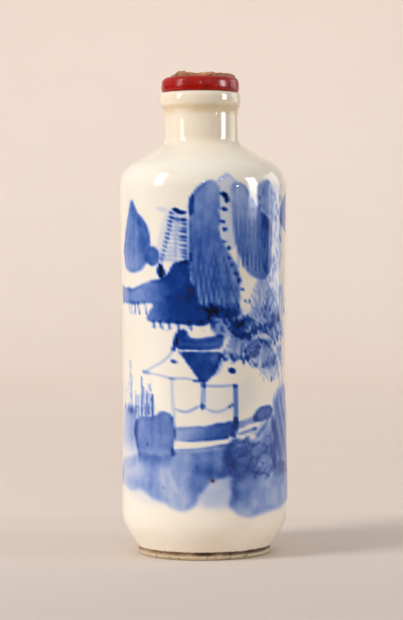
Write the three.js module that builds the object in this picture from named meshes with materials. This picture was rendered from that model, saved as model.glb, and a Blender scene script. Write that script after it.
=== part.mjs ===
// A small cylindrical porcelain snuff bottle with what is left of its stopper: a red glass collar on the lip,
// the cork that runs through it into the mouth, and the lumpy cement that once held a finial on top.
//
// Units are millimetres, +Z is up, and the origin is the centre of the foot on the surface that it stands on.
// Each piece is a closed solid, in a named mesh of its own.

import * as THREE from "three";

// ---- Driving dimensions ----

// Outside of the bottle.
const FOOT_RADIUS = 11.25; // outer edge of the ring that it stands on
const FOOT_HEIGHT = 1.15; // the unglazed ring, up to the edge of the glaze
const FOOT_WIDTH = 2.2; // across the ring
const FOOT_ROUNDING = 0.55;
const RECESS_DEPTH = 1.2; // of the base inside the foot ring
const GLAZE_STEP = 0.35; // how far the glaze stands out over the bare foot
const HEEL_RADIUS = 11.45; // where the wall starts, just above the foot
const HEEL_TOP = 8.5; // where the wall becomes upright
const BODY_RADIUS = 14.1;
const WAIST = 0.22; // how much the wall draws in halfway up
const SHOULDER_FOOT = 61.9; // where the wall starts to turn in
const SHOULDER_SLOPE = 30; // degrees above level, of the straight stretch of the shoulder
const SHOULDER_ROUNDING = 4.9; // from the wall into the straight stretch
const NECK_RADIUS = 6.2;
const NECK_FOOT = 70.4; // where the neck becomes upright
const LIP_RADIUS = 6.85;
const LIP_FOOT = 74.2; // where the neck starts to flare
const LIP_BAND = 1.5; // upright height of the rolled band, its rounded top included
const LIP_ROUNDING = 0.8;
const RIM = 78.0; // top of the lip

// Inside of the bottle.
const WALL = 2.2;
const FLOOR = 3.6; // height of the inside's floor
const FLOOR_ROUNDING = 3.9; // from the inside's wall into its floor
const BORE_RADIUS = 3.5;
const BORE_ROUNDING = 0.4;
const BORE_FLARE = 0.8; // where the bore opens out into the bottle

// The stopper's collar.
const COLLAR_RADIUS = 6.6;
const COLLAR_HEIGHT = 2.5;
const COLLAR_DRAFT = 0.2; // how much its side leans in
const COLLAR_ROUNDING = 1;
const COLLAR_HOLE = 2.7;

// The cork: a plug in the mouth, and a spigot through the collar.
const PLUG_RADIUS = 3.2;
const PLUG_LENGTH = 4.4;
const PLUG_TAPER = 0.25;
const PLUG_CHAMFER = 0.3;
const SPIGOT_RADIUS = 2.4;
const SPIGOT_ABOVE = 0.45; // how far its broken end stands above the collar

// The cement round the cork's end: a low broken ridge.
const CEMENT_INNER = 2.7;
const CEMENT_OUTER = 5.15;
const CEMENT_OVERRUN = 0.75; // how much further it ran on one side
const CEMENT_HEIGHT = 0.5;
const CEMENT_PEAK = 0.35; // how much higher its tallest lump stands

// Facets.
const SAG = 0.02; // how far a facet may stray from a round stretch of a profile
const BOTTLE_SIDES = 64; // flat sides round the bottle
const STOPPER_SIDES = 36; // and round each piece of the stopper

// ---- Shared helpers ----

const degrees = THREE.MathUtils.degToRad;

// How many steps keep a curve's facets within SAG of it.
function stepsFor(curve) {
  const [start, middle, end] = [0, 0.5, 1].map((t) => curve.getTangent(t));
  const turn = start.angleTo(middle) + middle.angleTo(end);
  return Math.max(1, Math.ceil(Math.sqrt((curve.getLength() * turn) / (8 * SAG))));
}

// Turns a path of (radius, height) points round the vertical axis.
function turned(path, sides) {
  const points = [];
  for (const curve of path.curves) {
    for (const p of curve.getPoints(stepsFor(curve))) {
      const last = points[points.length - 1];
      if (!last || last.distanceTo(p) > 1e-3) points.push(p);
    }
  }
  return new THREE.LatheGeometry(points, sides).rotateX(Math.PI / 2);
}

function named(name, geometry, colour, roughness) {
  const material = new THREE.MeshStandardMaterial({ color: colour, roughness, metalness: 0 });
  const mesh = new THREE.Mesh(geometry, material);
  mesh.name = name;
  return mesh;
}

// ---- The bottle ----

// Height of the shoulder's straight slope at a radius, on a surface that far under the outside.
function slopeHeight(radius, depth) {
  const slope = degrees(SHOULDER_SLOPE);
  const centreRadius = BODY_RADIUS - SHOULDER_ROUNDING;
  const rise = (SHOULDER_ROUNDING - depth) / Math.cos(slope);
  return SHOULDER_FOOT + rise - (radius - centreRadius) * Math.tan(slope);
}

// The recessed base, the foot ring, the heel and the wall with its slight waist.
function drawBody(path) {
  const footInner = FOOT_RADIUS - FOOT_WIDTH;
  const middle = (HEEL_TOP + SHOULDER_FOOT) / 2;
  path.moveTo(0, RECESS_DEPTH);
  path.lineTo(footInner - FOOT_ROUNDING, RECESS_DEPTH);
  path.lineTo(footInner, FOOT_ROUNDING);
  path.lineTo(footInner + FOOT_ROUNDING, 0);
  path.lineTo(FOOT_RADIUS - FOOT_ROUNDING, 0);
  path.quadraticCurveTo(FOOT_RADIUS, 0, FOOT_RADIUS, FOOT_ROUNDING);
  path.lineTo(HEEL_RADIUS - GLAZE_STEP, FOOT_HEIGHT);
  path.lineTo(HEEL_RADIUS, FOOT_HEIGHT + GLAZE_STEP / 2);
  path.bezierCurveTo(
    HEEL_RADIUS + 1.9, FOOT_HEIGHT + 3.2,
    BODY_RADIUS, HEEL_TOP - 3.6,
    BODY_RADIUS, HEEL_TOP,
  );
  path.quadraticCurveTo(BODY_RADIUS - WAIST * 2, middle, BODY_RADIUS, SHOULDER_FOOT);
}

// An arc off the wall, a straight slope, and a hollow fillet up into the neck.
function drawShoulder(path) {
  const slope = degrees(SHOULDER_SLOPE);
  const corner = slopeHeight(NECK_RADIUS, 0);
  const fillet = NECK_FOOT - corner;
  path.absarc(BODY_RADIUS - SHOULDER_ROUNDING, SHOULDER_FOOT, SHOULDER_ROUNDING, 0, Math.PI / 2 - slope, false);
  path.lineTo(NECK_RADIUS + fillet * Math.cos(slope), corner - fillet * Math.sin(slope));
  path.quadraticCurveTo(NECK_RADIUS, corner, NECK_RADIUS, NECK_FOOT);
}

// The neck flares into a rolled band, which rounds over into the mouth.
function drawLip(path) {
  const bandFoot = RIM - LIP_BAND;
  const bend = (bandFoot - LIP_FOOT) / 2;
  path.lineTo(NECK_RADIUS, LIP_FOOT);
  path.bezierCurveTo(NECK_RADIUS, LIP_FOOT + bend, LIP_RADIUS, bandFoot - bend, LIP_RADIUS, bandFoot);
  path.lineTo(LIP_RADIUS, RIM - LIP_ROUNDING);
  path.quadraticCurveTo(LIP_RADIUS, RIM, LIP_RADIUS - LIP_ROUNDING, RIM);
  path.lineTo(BORE_RADIUS + BORE_ROUNDING, RIM);
  path.quadraticCurveTo(BORE_RADIUS, RIM, BORE_RADIUS, RIM - BORE_ROUNDING);
}

// The bore, then an inside that follows the shoulder and the wall at the wall's thickness.
function drawInside(path) {
  const inner = BODY_RADIUS - WALL;
  const slope = degrees(SHOULDER_SLOPE);
  const flared = BORE_RADIUS + BORE_FLARE;
  const boreFoot = slopeHeight(BORE_RADIUS, WALL);
  path.lineTo(BORE_RADIUS, boreFoot + BORE_FLARE);
  path.quadraticCurveTo(BORE_RADIUS, boreFoot, flared, slopeHeight(flared, WALL));
  path.absarc(
    BODY_RADIUS - SHOULDER_ROUNDING, SHOULDER_FOOT, SHOULDER_ROUNDING - WALL,
    Math.PI / 2 - slope, 0, true,
  );
  path.lineTo(inner, FLOOR + FLOOR_ROUNDING);
  path.quadraticCurveTo(inner, FLOOR, inner - FLOOR_ROUNDING, FLOOR);
  path.lineTo(0, FLOOR);
}

function makeBottle() {
  const path = new THREE.Path();
  drawBody(path);
  drawShoulder(path);
  drawLip(path);
  drawInside(path);
  return named("bottle", turned(path, BOTTLE_SIDES), 0xf3e8d8, 0.1);
}

// ---- The stopper ----

// A thick ring with a leaning side, a rounded top edge and a hole for the cork.
function makeCollar() {
  const bottom = RIM;
  const top = RIM + COLLAR_HEIGHT;
  const topRadius = COLLAR_RADIUS - COLLAR_DRAFT;
  const lowerRounding = COLLAR_ROUNDING / 3;
  const path = new THREE.Path();
  path.moveTo(COLLAR_HOLE, bottom);
  path.lineTo(COLLAR_RADIUS - lowerRounding, bottom);
  path.quadraticCurveTo(COLLAR_RADIUS, bottom, COLLAR_RADIUS, bottom + lowerRounding);
  path.lineTo(topRadius, top - COLLAR_ROUNDING);
  path.quadraticCurveTo(topRadius, top, topRadius - COLLAR_ROUNDING, top);
  path.lineTo(COLLAR_HOLE, top);
  path.lineTo(COLLAR_HOLE, bottom);
  return named("collar", turned(path, STOPPER_SIDES), 0xa8201c, 0.25);
}

function makeCork() {
  const plugBottom = RIM - PLUG_LENGTH;
  const plugTop = RIM - PLUG_CHAMFER;
  const end = RIM + COLLAR_HEIGHT + SPIGOT_ABOVE;
  const path = new THREE.Path();
  path.moveTo(0, plugBottom);
  path.lineTo(PLUG_RADIUS - PLUG_TAPER - PLUG_CHAMFER, plugBottom);
  path.lineTo(PLUG_RADIUS - PLUG_TAPER, plugBottom + PLUG_CHAMFER);
  path.lineTo(PLUG_RADIUS, plugTop);
  path.lineTo(SPIGOT_RADIUS, plugTop);
  path.lineTo(SPIGOT_RADIUS, end - SPIGOT_ABOVE / 2);
  path.quadraticCurveTo(SPIGOT_RADIUS * 0.9, end, 0, end);
  return named("cork", turned(path, STOPPER_SIDES), 0x8a5a34, 0.9);
}

// Height of the cement's ridge at an angle: a low ring with one tall lump at the front left
// and a broader one at the right.
function cementHeight(angle) {
  const lump = (at, width) => Math.exp(-Math.pow(Math.sin((angle - at) / 2) / width, 2));
  const ripple = 0.12 * Math.sin(5 * angle + 1) + 0.08 * Math.sin(9 * angle);
  return CEMENT_HEIGHT * (1 + ripple) + CEMENT_PEAK * lump(degrees(215), 0.2) + 0.15 * lump(degrees(350), 0.4);
}

// How far out the cement reaches at an angle: it ran over towards the collar's edge at the right.
function cementReach(angle) {
  return CEMENT_OUTER + CEMENT_OVERRUN * Math.pow(Math.cos(angle / 2), 4) + 0.12 * Math.sin(4 * angle + 2);
}

// A ring whose section is a low mound, shaped section by section round the cork.
function makeCement() {
  const bottom = RIM + COLLAR_HEIGHT;
  const section = [[0, 0], [1, 0], [0.9, 0.55], [0.66, 1], [0.3, 0.9], [0, 0.6], [0, 0]];
  const unit = section.map(([out, up]) => new THREE.Vector2(1 + out, up));
  const geometry = new THREE.LatheGeometry(unit, STOPPER_SIDES).rotateX(Math.PI / 2);
  const places = geometry.getAttribute("position");
  for (let i = 0; i < places.count; i++) {
    const angle = Math.atan2(places.getY(i), places.getX(i));
    const out = Math.hypot(places.getX(i), places.getY(i)) - 1;
    const radius = CEMENT_INNER + out * (cementReach(angle) - CEMENT_INNER);
    const height = bottom + places.getZ(i) * cementHeight(angle);
    places.setXYZ(i, radius * Math.cos(angle), radius * Math.sin(angle), height);
  }
  geometry.computeVertexNormals();
  return named("cement", geometry, 0x9a6a3c, 0.8);
}

// ---- The whole object ----

const snuffBottle = new THREE.Group();
snuffBottle.add(makeBottle(), makeCollar(), makeCork(), makeCement());

export default snuffBottle;
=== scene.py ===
"""Dresses the snuff bottle: its glazed and painted porcelain, the worn red collar, the cork and the cement.

Every length is in metres. The sheet that the painting is laid out on is in millimetres.
"""

import math

import bpy
import numpy as np
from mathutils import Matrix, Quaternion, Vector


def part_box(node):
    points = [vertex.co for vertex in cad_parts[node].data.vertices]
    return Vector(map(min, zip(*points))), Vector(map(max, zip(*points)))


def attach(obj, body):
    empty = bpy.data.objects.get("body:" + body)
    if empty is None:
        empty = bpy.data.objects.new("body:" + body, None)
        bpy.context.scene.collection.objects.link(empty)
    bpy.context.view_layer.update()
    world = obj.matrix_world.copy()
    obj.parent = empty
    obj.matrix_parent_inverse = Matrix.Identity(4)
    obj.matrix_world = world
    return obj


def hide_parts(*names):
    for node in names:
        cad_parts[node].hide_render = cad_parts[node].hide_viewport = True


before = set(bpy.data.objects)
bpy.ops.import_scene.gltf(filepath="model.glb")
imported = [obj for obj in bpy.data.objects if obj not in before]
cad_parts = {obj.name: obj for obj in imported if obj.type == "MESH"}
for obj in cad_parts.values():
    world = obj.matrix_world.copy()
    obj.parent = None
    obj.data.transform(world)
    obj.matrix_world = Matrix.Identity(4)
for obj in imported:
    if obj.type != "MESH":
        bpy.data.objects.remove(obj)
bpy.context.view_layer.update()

bl_info = {
    "name": "Snuff bottle",
    "version": (1, 0, 0),
    "blender": (4, 5, 0),
    "location": "3D View > Sidebar > Snuff Bottle",
    "description": "A porcelain snuff bottle with a landscape in cobalt blue and a broken stopper",
    "category": "Add Mesh",
}

MM = 0.001
TINY = 1e-6
FAR_AWAY = 99.0  # millimetres on the sheet, farther than any stroke reaches

BOTTLE_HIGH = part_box("bottle")[1]
COLLAR_LOW, COLLAR_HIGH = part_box("collar")
CORK_LOW, CORK_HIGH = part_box("cork")
CEMENT_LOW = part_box("cement")[0]


# ---- Colours ----

def linear(text):
    """Turns a colour written as #RRGGBB into the linear values that a shader takes."""
    channels = [int(text[i:i + 2], 16) / 255 for i in (1, 3, 5)]
    return tuple(c / 12.92 if c <= 0.04045 else ((c + 0.055) / 1.055) ** 2.4 for c in channels) + (1.0,)


# ---- Settings that a user would change ----

class BottleSettings(bpy.types.PropertyGroup):
    """Sizes of the porcelain bottle."""
    radius: bpy.props.FloatProperty(
        name="Body radius", description="Radius of the wall at the heel and the shoulder",
        default=BOTTLE_HIGH[0], unit="LENGTH")
    height: bpy.props.FloatProperty(
        name="Height", description="Height of the lip above the surface it stands on",
        default=BOTTLE_HIGH[2], unit="LENGTH")
    foot_radius: bpy.props.FloatProperty(
        name="Foot radius", description="Outer radius of the ring that the bottle stands on",
        default=11.25 * MM, unit="LENGTH")
    neck_radius: bpy.props.FloatProperty(
        name="Neck radius", description="Outer radius of the neck",
        default=6.2 * MM, unit="LENGTH")
    lip_radius: bpy.props.FloatProperty(
        name="Lip radius", description="Outer radius of the rolled lip",
        default=6.85 * MM, unit="LENGTH")
    wall: bpy.props.FloatProperty(
        name="Wall", description="Thickness of the wall",
        default=2.2 * MM, unit="LENGTH")
    unevenness: bpy.props.FloatProperty(
        name="Unevenness", description="How far the thrown wall strays from round",
        default=0.16 * MM, unit="LENGTH")
    front_columns: bpy.props.IntProperty(
        name="Front columns", description="Columns of faces round the front half, with the finest lines",
        default=196, min=48)
    back_columns: bpy.props.IntProperty(
        name="Back columns", description="Columns of faces round the back half",
        default=104, min=48)


class GlazeSettings(bpy.types.PropertyGroup):
    """Colours of the porcelain, its glaze and its painting."""
    glaze: bpy.props.FloatVectorProperty(
        name="Glaze", description="White porcelain seen through the clear glaze",
        default=linear("#F5ECDF"), size=4, subtype="COLOR", min=0, max=1)
    glaze_cloud: bpy.props.FloatVectorProperty(
        name="Glaze clouding", description="The slightly yellower tone of the clouds in the glaze",
        default=linear("#EFE7D6"), size=4, subtype="COLOR", min=0, max=1)
    stain: bpy.props.FloatVectorProperty(
        name="Stain", description="Old grease and dirt, most of it in the recess under the lip",
        default=linear("#DCC094"), size=4, subtype="COLOR", min=0, max=1)
    # Painted light: this brighter colour lightens the heel, standing in for light bounced up from the floor.
    heel_painted_light: bpy.props.FloatVectorProperty(
        name="Heel painted light", description="Painted light: the heel made brighter, as light bounced up from the floor would",
        default=linear("#FDF3E4"), size=4, subtype="COLOR", min=0, max=1)
    glaze_neck: bpy.props.FloatVectorProperty(
        name="Neck glaze", description="The yellower, handled glaze of the neck",
        default=linear("#F5E8D5"), size=4, subtype="COLOR", min=0, max=1)
    biscuit: bpy.props.FloatVectorProperty(
        name="Bare foot", description="The unglazed, stained porcelain of the foot ring",
        default=linear("#D4C0A0"), size=4, subtype="COLOR", min=0, max=1)
    # Painted shade: with the dirt, this colour also darkens the groove just under the glaze's edge.
    foot_rust_and_shade: bpy.props.FloatVectorProperty(
        name="Rusty dirt and shade", description="Paler brown dirt here and there, with painted shade at the glaze's lower edge",
        default=linear("#80552F"), size=4, subtype="COLOR", min=0, max=1)
    # Painted shade: with the dirt, this colour also darkens the groove just under the glaze's edge.
    foot_dirt_and_shade: bpy.props.FloatVectorProperty(
        name="Foot dirt and shade", description="Dirt in specks on the foot, and dirt with painted shade along the edge of the glaze",
        default=linear("#3A2616"), size=4, subtype="COLOR", min=0, max=1)
    iron: bpy.props.FloatVectorProperty(
        name="Iron specks", description="Brown specks that burnt through the glaze",
        default=linear("#3A2118"), size=4, subtype="COLOR", min=0, max=1)
    roughness: bpy.props.FloatProperty(
        name="Glaze roughness", description="How soft reflections are in the glaze",
        default=0.09, min=0, max=1, subtype="FACTOR")


class StopperSettings(bpy.types.PropertyGroup):
    """Sizes and colours of what is left of the stopper."""
    collar_tilt: bpy.props.FloatProperty(
        name="Collar tilt", description="How far the collar and the lip under it lean to the right",
        default=math.radians(0.2), subtype="ANGLE")
    glass: bpy.props.FloatVectorProperty(
        name="Red glass", description="The opaque red glass of the collar",
        default=linear("#AC0F02"), size=4, subtype="COLOR", min=0, max=1)
    glass_dark: bpy.props.FloatVectorProperty(
        name="Dark glass", description="Darker swirls in the collar's glass",
        default=linear("#880A02"), size=4, subtype="COLOR", min=0, max=1)
    cork: bpy.props.FloatVectorProperty(
        name="Cork", description="Old stained cork",
        default=linear("#8A6238"), size=4, subtype="COLOR", min=0, max=1)
    cement: bpy.props.FloatVectorProperty(
        name="Cement", description="The orange-brown cement that held the finial",
        default=linear("#CC8A5A"), size=4, subtype="COLOR", min=0, max=1)
    cement_dark: bpy.props.FloatVectorProperty(
        name="Dark cement", description="Dirty patches on the cement",
        default=linear("#7A4A30"), size=4, subtype="COLOR", min=0, max=1)
    cement_red: bpy.props.FloatVectorProperty(
        name="Red cement", description="The cement at the right, where it is redder",
        default=linear("#96543E"), size=4, subtype="COLOR", min=0, max=1)


class StageSettings(bpy.types.PropertyGroup):
    """The floor, the camera and the lights."""
    paper: bpy.props.FloatVectorProperty(
        name="Paper", description="Colour of the floor and of the sweep behind the bottle",
        default=linear("#E3D5CB"), size=4, subtype="COLOR", min=0, max=1)
    distance: bpy.props.FloatProperty(
        name="Camera distance", description="From the bottle's axis to the camera",
        default=0.368, unit="LENGTH")
    eye_height: bpy.props.FloatProperty(
        name="Camera height", description="Height of the camera above the floor",
        default=0.0538, unit="LENGTH")
    lens: bpy.props.FloatProperty(
        name="Lens", description="Focal length in millimetres",
        default=125.8)
    key_radiance: bpy.props.FloatProperty(
        name="Key light", description="Brightness of the large soft light at the left",
        default=10.1)
    strip_radiance: bpy.props.FloatProperty(
        name="Strip light", description="Brightness of the narrow light at the right",
        default=4.5)
    backdrop_radiance: bpy.props.FloatProperty(
        name="Backdrop light", description="Brightness of the light over the backdrop",
        default=1.5)
    room: bpy.props.FloatProperty(
        name="Room light", description="Brightness of the ceiling. The walls of the room are dark",
        default=0.61)


# ---- Working in edit mode ----

def only(obj):
    """Makes one object the only selected and active one."""
    bpy.ops.object.select_all(action="DESELECT")
    obj.select_set(True)
    bpy.context.view_layer.objects.active = obj


def finished(name, angle=40):
    """Cleans up the active mesh, settles its place and shades it."""
    obj = bpy.context.object
    obj.name = name
    obj.data.name = name
    bpy.ops.object.mode_set(mode="OBJECT")
    bpy.ops.object.transform_apply(location=True, rotation=True, scale=True)
    bpy.ops.object.shade_smooth_by_angle(angle=math.radians(angle))
    return obj


def places(obj):
    """The mesh's vertex places, as an array to be moved and put back by put_places."""
    flat = np.empty(len(obj.data.vertices) * 3, np.float32)
    obj.data.vertices.foreach_get("co", flat)
    return flat.reshape(-1, 3).astype(np.float64)


def put_places(obj, spots):
    """Moves the mesh's vertices to new places."""
    obj.data.vertices.foreach_set("co", spots.astype(np.float32).ravel())
    obj.data.update()


def smoothstep(low, high, values):
    """Runs from 0 to 1 between two values, level at both ends. The first may be the larger."""
    t = np.clip((values - low) / (high - low), 0, 1)
    return t * t * (3 - 2 * t)


# ---- Half sections, drawn as Bezier strokes of (radius, height) ----

def straight(start, end, steps=1):
    """A stroke that runs straight from start to end."""
    third = [(e - s) / 3 for s, e in zip(start, end)]
    pull_a = [s + t for s, t in zip(start, third)]
    pull_b = [e - t for e, t in zip(end, third)]
    return start, pull_a, pull_b, end, steps


def bend(start, corner, end, steps):
    """A stroke that leaves start towards the corner and reaches end from it."""
    pull_a = [s + (c - s) * 2 / 3 for s, c in zip(start, corner)]
    pull_b = [e + (c - e) * 2 / 3 for e, c in zip(end, corner)]
    return start, pull_a, pull_b, end, steps


def arc(centre, radius, first, last, steps):
    """A round stroke between two angles above level, in degrees."""
    a, b = math.radians(first), math.radians(last)
    pull = 4 / 3 * math.tan((b - a) / 4) * radius
    start = (centre[0] + radius * math.cos(a), centre[1] + radius * math.sin(a))
    end = (centre[0] + radius * math.cos(b), centre[1] + radius * math.sin(b))
    pull_a = (start[0] - pull * math.sin(a), start[1] + pull * math.cos(a))
    pull_b = (end[0] + pull * math.sin(b), end[1] - pull * math.cos(b))
    return start, pull_a, pull_b, end, steps


def draw_section(strokes):
    """Draws the strokes at the left of the axis, and turns them into one chain of edges."""
    bpy.ops.object.select_all(action="DESELECT")
    bpy.ops.curve.primitive_bezier_curve_add(location=(0, 0, 0))
    curve = bpy.context.object.data
    curve.dimensions = "3D"
    curve.splines.clear()
    for start, pull_a, pull_b, end, steps in strokes:
        spline = curve.splines.new("BEZIER")
        spline.bezier_points.add(1)
        spline.resolution_u = steps
        for point, place, pulls in ((spline.bezier_points[0], start, (start, pull_a)),
                                    (spline.bezier_points[1], end, (pull_b, end))):
            point.handle_left_type = point.handle_right_type = "FREE"
            point.co = (-place[0], 0, place[1])
            point.handle_left = (-pulls[0][0], 0, pulls[0][1])
            point.handle_right = (-pulls[1][0], 0, pulls[1][1])
    bpy.ops.object.convert(target="MESH")
    bpy.ops.object.mode_set(mode="EDIT")
    bpy.ops.mesh.select_all(action="SELECT")
    bpy.ops.mesh.remove_doubles(threshold=TINY)


def turn_section(turns):
    """Spins the drawn chain once round the axis, in (angle, columns) stretches that start at the left."""
    bpy.ops.mesh.select_all(action="SELECT")
    for angle, columns in turns:
        bpy.ops.mesh.spin(steps=columns, angle=angle, center=(0, 0, 0), axis=(0, 0, 1))
    bpy.ops.mesh.select_all(action="SELECT")
    bpy.ops.mesh.remove_doubles(threshold=TINY)
    bpy.ops.mesh.normals_make_consistent(inside=False)


def shake(obj, name, size, strength, group=""):
    """Pushes the surface in and out by soft clouds of a size, and keeps the result."""
    clouds = bpy.data.textures.new(name, "CLOUDS")
    clouds.noise_scale = size
    clouds.noise_depth = 1
    only(obj)
    modifier = obj.modifiers.new(name, "DISPLACE")
    modifier.texture = clouds
    modifier.texture_coords = "LOCAL"
    modifier.strength = strength
    modifier.vertex_group = group
    bpy.ops.object.modifier_apply(modifier=name)


# ---- The painting, laid out on a flat sheet ----

class Sheet:
    """The painted band rolled out flat, in millimetres: u runs round the wall to the right of the front,
    z is the height. It holds how much cobalt and how much iron lies at each spot."""

    STEP = 0.12
    POOL_DEPTH, POOL_WIDTH = 0.25, 0.35  # where thin cobalt gathers inside an edge
    TAPER_RUN = 0.25  # the share of a stroke over which a pointed end swells to full width

    def __init__(self, radius, low, high, seed):
        self.girth = 2 * math.pi * radius
        self.radius = radius
        self.u = np.arange(-self.girth / 2, self.girth / 2, self.STEP)
        self.z = np.arange(low, high, self.STEP)
        shape = (len(self.z), len(self.u))
        self.cobalt = np.zeros(shape)
        self.iron = np.zeros(shape)
        self.chance = np.random.default_rng(seed)
        self.blotches = self.clouds(1.6, 1.6)
        self.streaks = self.clouds(0.5, 7.0)
        self.wobble = 0.14 * self.clouds(1.3, 1.3) + 0.07 * self.clouds(0.5, 0.5)

    def clouds(self, across, up):
        """Soft random hills and hollows of a given size, from about -1 to 1, that meet at the back."""
        grid = self.chance.uniform(-1, 1, (int(len(self.z) * self.STEP / up) + 3,
                                           max(4, round(self.girth / across))))
        grid = np.hstack([grid, grid[:, :1]])
        columns = np.linspace(0, grid.shape[1] - 1, len(self.u), endpoint=False)
        rows = np.linspace(0, grid.shape[0] - 1.001, len(self.z))
        i, j = rows.astype(int), columns.astype(int)
        a, b = smoothstep(0, 1, rows - i)[:, None], smoothstep(0, 1, columns - j)[None, :]
        low = grid[i][:, j] * (1 - b) + grid[i][:, j + 1] * b
        high = grid[i + 1][:, j] * (1 - b) + grid[i + 1][:, j + 1] * b
        return low * (1 - a) + high * a

    def windows(self, points, margin):
        """The stretches of the sheet round some points, also where they pass the seam at the back."""
        low, high = points.min(axis=0) - margin, points.max(axis=0) + margin
        rows = slice(*np.searchsorted(self.z, (low[1], high[1])))
        for turn in (-self.girth, 0, self.girth):
            columns = slice(*np.searchsorted(self.u, (low[0] + turn, high[0] + turn)))
            if columns.stop > columns.start and rows.stop > rows.start:
                u, z = np.meshgrid(self.u[columns] - turn, self.z[rows])
                yield (rows, columns), u, z

    def wash(self, outline, tone, edge=0.25, pool=0.0, blotch=0.12, streak=0.0, shade=None, rounded=True):
        """Floods an outline with thin cobalt. It may pool at the edge. A function of u and z may shade it."""
        points = curve_through(outline, closed=True) if rounded else closed_chain(outline)
        for window, u, z in self.windows(points, 2 * edge + 0.5):
            depth = inside_depth(points, u, z) + self.wobble[window]
            cover = smoothstep(-edge, edge, depth)
            amount = 1 + blotch * self.blotches[window] + streak * self.streaks[window]
            amount += pool * np.exp(-((depth - self.POOL_DEPTH) / self.POOL_WIDTH) ** 2)
            if shade:
                amount = amount * shade(u, z)
            self.cobalt[window] += tone * cover * np.clip(amount, 0, None)

    def lift(self, outline, amount=1.0, edge=0.25):
        """Takes cobalt away inside an outline, as a brush that goes round a bare spot leaves it."""
        points = curve_through(outline, closed=True)
        for window, u, z in self.windows(points, 2 * edge):
            depth = inside_depth(points, u, z) + self.wobble[window]
            self.cobalt[window] *= 1 - amount * smoothstep(-edge, edge, depth)

    def line(self, points, tone, width, taper=(0.5, 0.5), edge=0.1):
        """One stroke of a pointed brush. The tone is one value or a (start, end) pair, and the taper says
        how much of the width is left at each end."""
        first, last = tone if isinstance(tone, tuple) else (tone, tone)
        chain = curve_through(points)
        lengths = np.hypot(*np.diff(chain, axis=0).T)
        marks = np.concatenate([[0], np.cumsum(lengths)]) / lengths.sum()
        for window, u, z in self.windows(chain, width / 2 + 2 * edge):
            nearest = np.full(u.shape, FAR_AWAY)
            strength = np.zeros(u.shape)
            for (a, b), (start, end) in zip(zip(chain[:-1], chain[1:]), zip(marks[:-1], marks[1:])):
                t, gap = nearest_on(a, b, u, z)
                along = start + (end - start) * t
                fullness = np.minimum(1, np.minimum(taper[0] + along / self.TAPER_RUN,
                                                    taper[1] + (1 - along) / self.TAPER_RUN))
                gap = gap - fullness * width / 2
                closer = gap < nearest
                nearest = np.where(closer, gap, nearest)
                strength = np.where(closer, first + (last - first) * along, strength)
            self.cobalt[window] += strength * smoothstep(edge, -edge, nearest)

    def dot(self, place, tone, size, tilt=0.0, edge=0.1, iron=False):
        """An oval touch of the brush, or an iron speck. The tilt is in degrees, up at the right."""
        width, height = size if isinstance(size, tuple) else (size, size)
        spot = np.array([place, place], dtype=float)
        turn = math.radians(tilt)
        layer = self.iron if iron else self.cobalt
        for window, u, z in self.windows(spot, max(width, height) / 2 + 2 * edge):
            along = (u - place[0]) * math.cos(turn) + (z - place[1]) * math.sin(turn)
            across = (z - place[1]) * math.cos(turn) - (u - place[0]) * math.sin(turn)
            round_gap = (np.hypot(along / (width / 2), across / (height / 2)) - 1) * min(width, height) / 2
            layer[window] += tone * smoothstep(edge, -edge, round_gap)

    def soften(self, size):
        """Lets the cobalt run a little into the glaze."""
        spread_u = np.exp(-2 * (math.pi * size * np.fft.rfftfreq(len(self.u), self.STEP)) ** 2)
        spread_z = np.exp(-2 * (math.pi * size * np.fft.fftfreq(len(self.z), self.STEP)) ** 2)
        waves = np.fft.rfft2(self.cobalt) * spread_z[:, None] * spread_u[None, :]
        self.cobalt = np.clip(np.fft.irfft2(waves, s=self.cobalt.shape), 0, None)

    def settle(self, most):
        """Keeps overlaps from going black, as the glaze takes up only so much cobalt."""
        self.cobalt = most * np.tanh(self.cobalt / most)

    def read(self, layer, u, z):
        """The layer's values at spots on the wall, with nothing above or below the sheet."""
        columns = ((u - self.u[0]) / self.STEP) % len(self.u)
        rows = np.clip((z - self.z[0]) / self.STEP, 0, len(self.z) - 1.001)
        i, j = rows.astype(int), columns.astype(int) % len(self.u)
        a, b = rows - i, columns - np.floor(columns)
        right = (j + 1) % len(self.u)
        low = layer[i, j] * (1 - b) + layer[i, right] * b
        high = layer[i + 1, j] * (1 - b) + layer[i + 1, right] * b
        on_sheet = (z > self.z[0]) & (z < self.z[-1])
        return np.where(on_sheet, low * (1 - a) + high * a, 0)


def closed_chain(points):
    """The points as a chain that ends where it starts."""
    return np.array(list(points) + [points[0]], dtype=float)


def curve_through(points, closed=False, steps=7):
    """A smooth chain through every point."""
    p = np.array(points, dtype=float)
    if closed:
        p = np.vstack([p[-1:], p, p[:2]])
    else:
        p = np.vstack([2 * p[:1] - p[1:2], p, 2 * p[-1:] - p[-2:-1]])
    t = np.linspace(0, 1, steps, endpoint=False)[:, None]
    chain = []
    for a, b, c, d in zip(p[:-3], p[1:-2], p[2:-1], p[3:]):
        chain.append(0.5 * (2 * b + (c - a) * t + (2 * a - 5 * b + 4 * c - d) * t ** 2
                            + (3 * b - a - 3 * c + d) * t ** 3))
    return np.vstack(chain + [p[-2:-1]])


def nearest_on(a, b, u, z):
    """For each spot, how far along a straight piece the nearest point lies, and how far away it is."""
    step = b - a
    t = ((u - a[0]) * step[0] + (z - a[1]) * step[1]) / max(step @ step, 1e-9)
    t = np.clip(t, 0, 1)
    return t, np.hypot(u - a[0] - t * step[0], z - a[1] - t * step[1])


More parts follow.
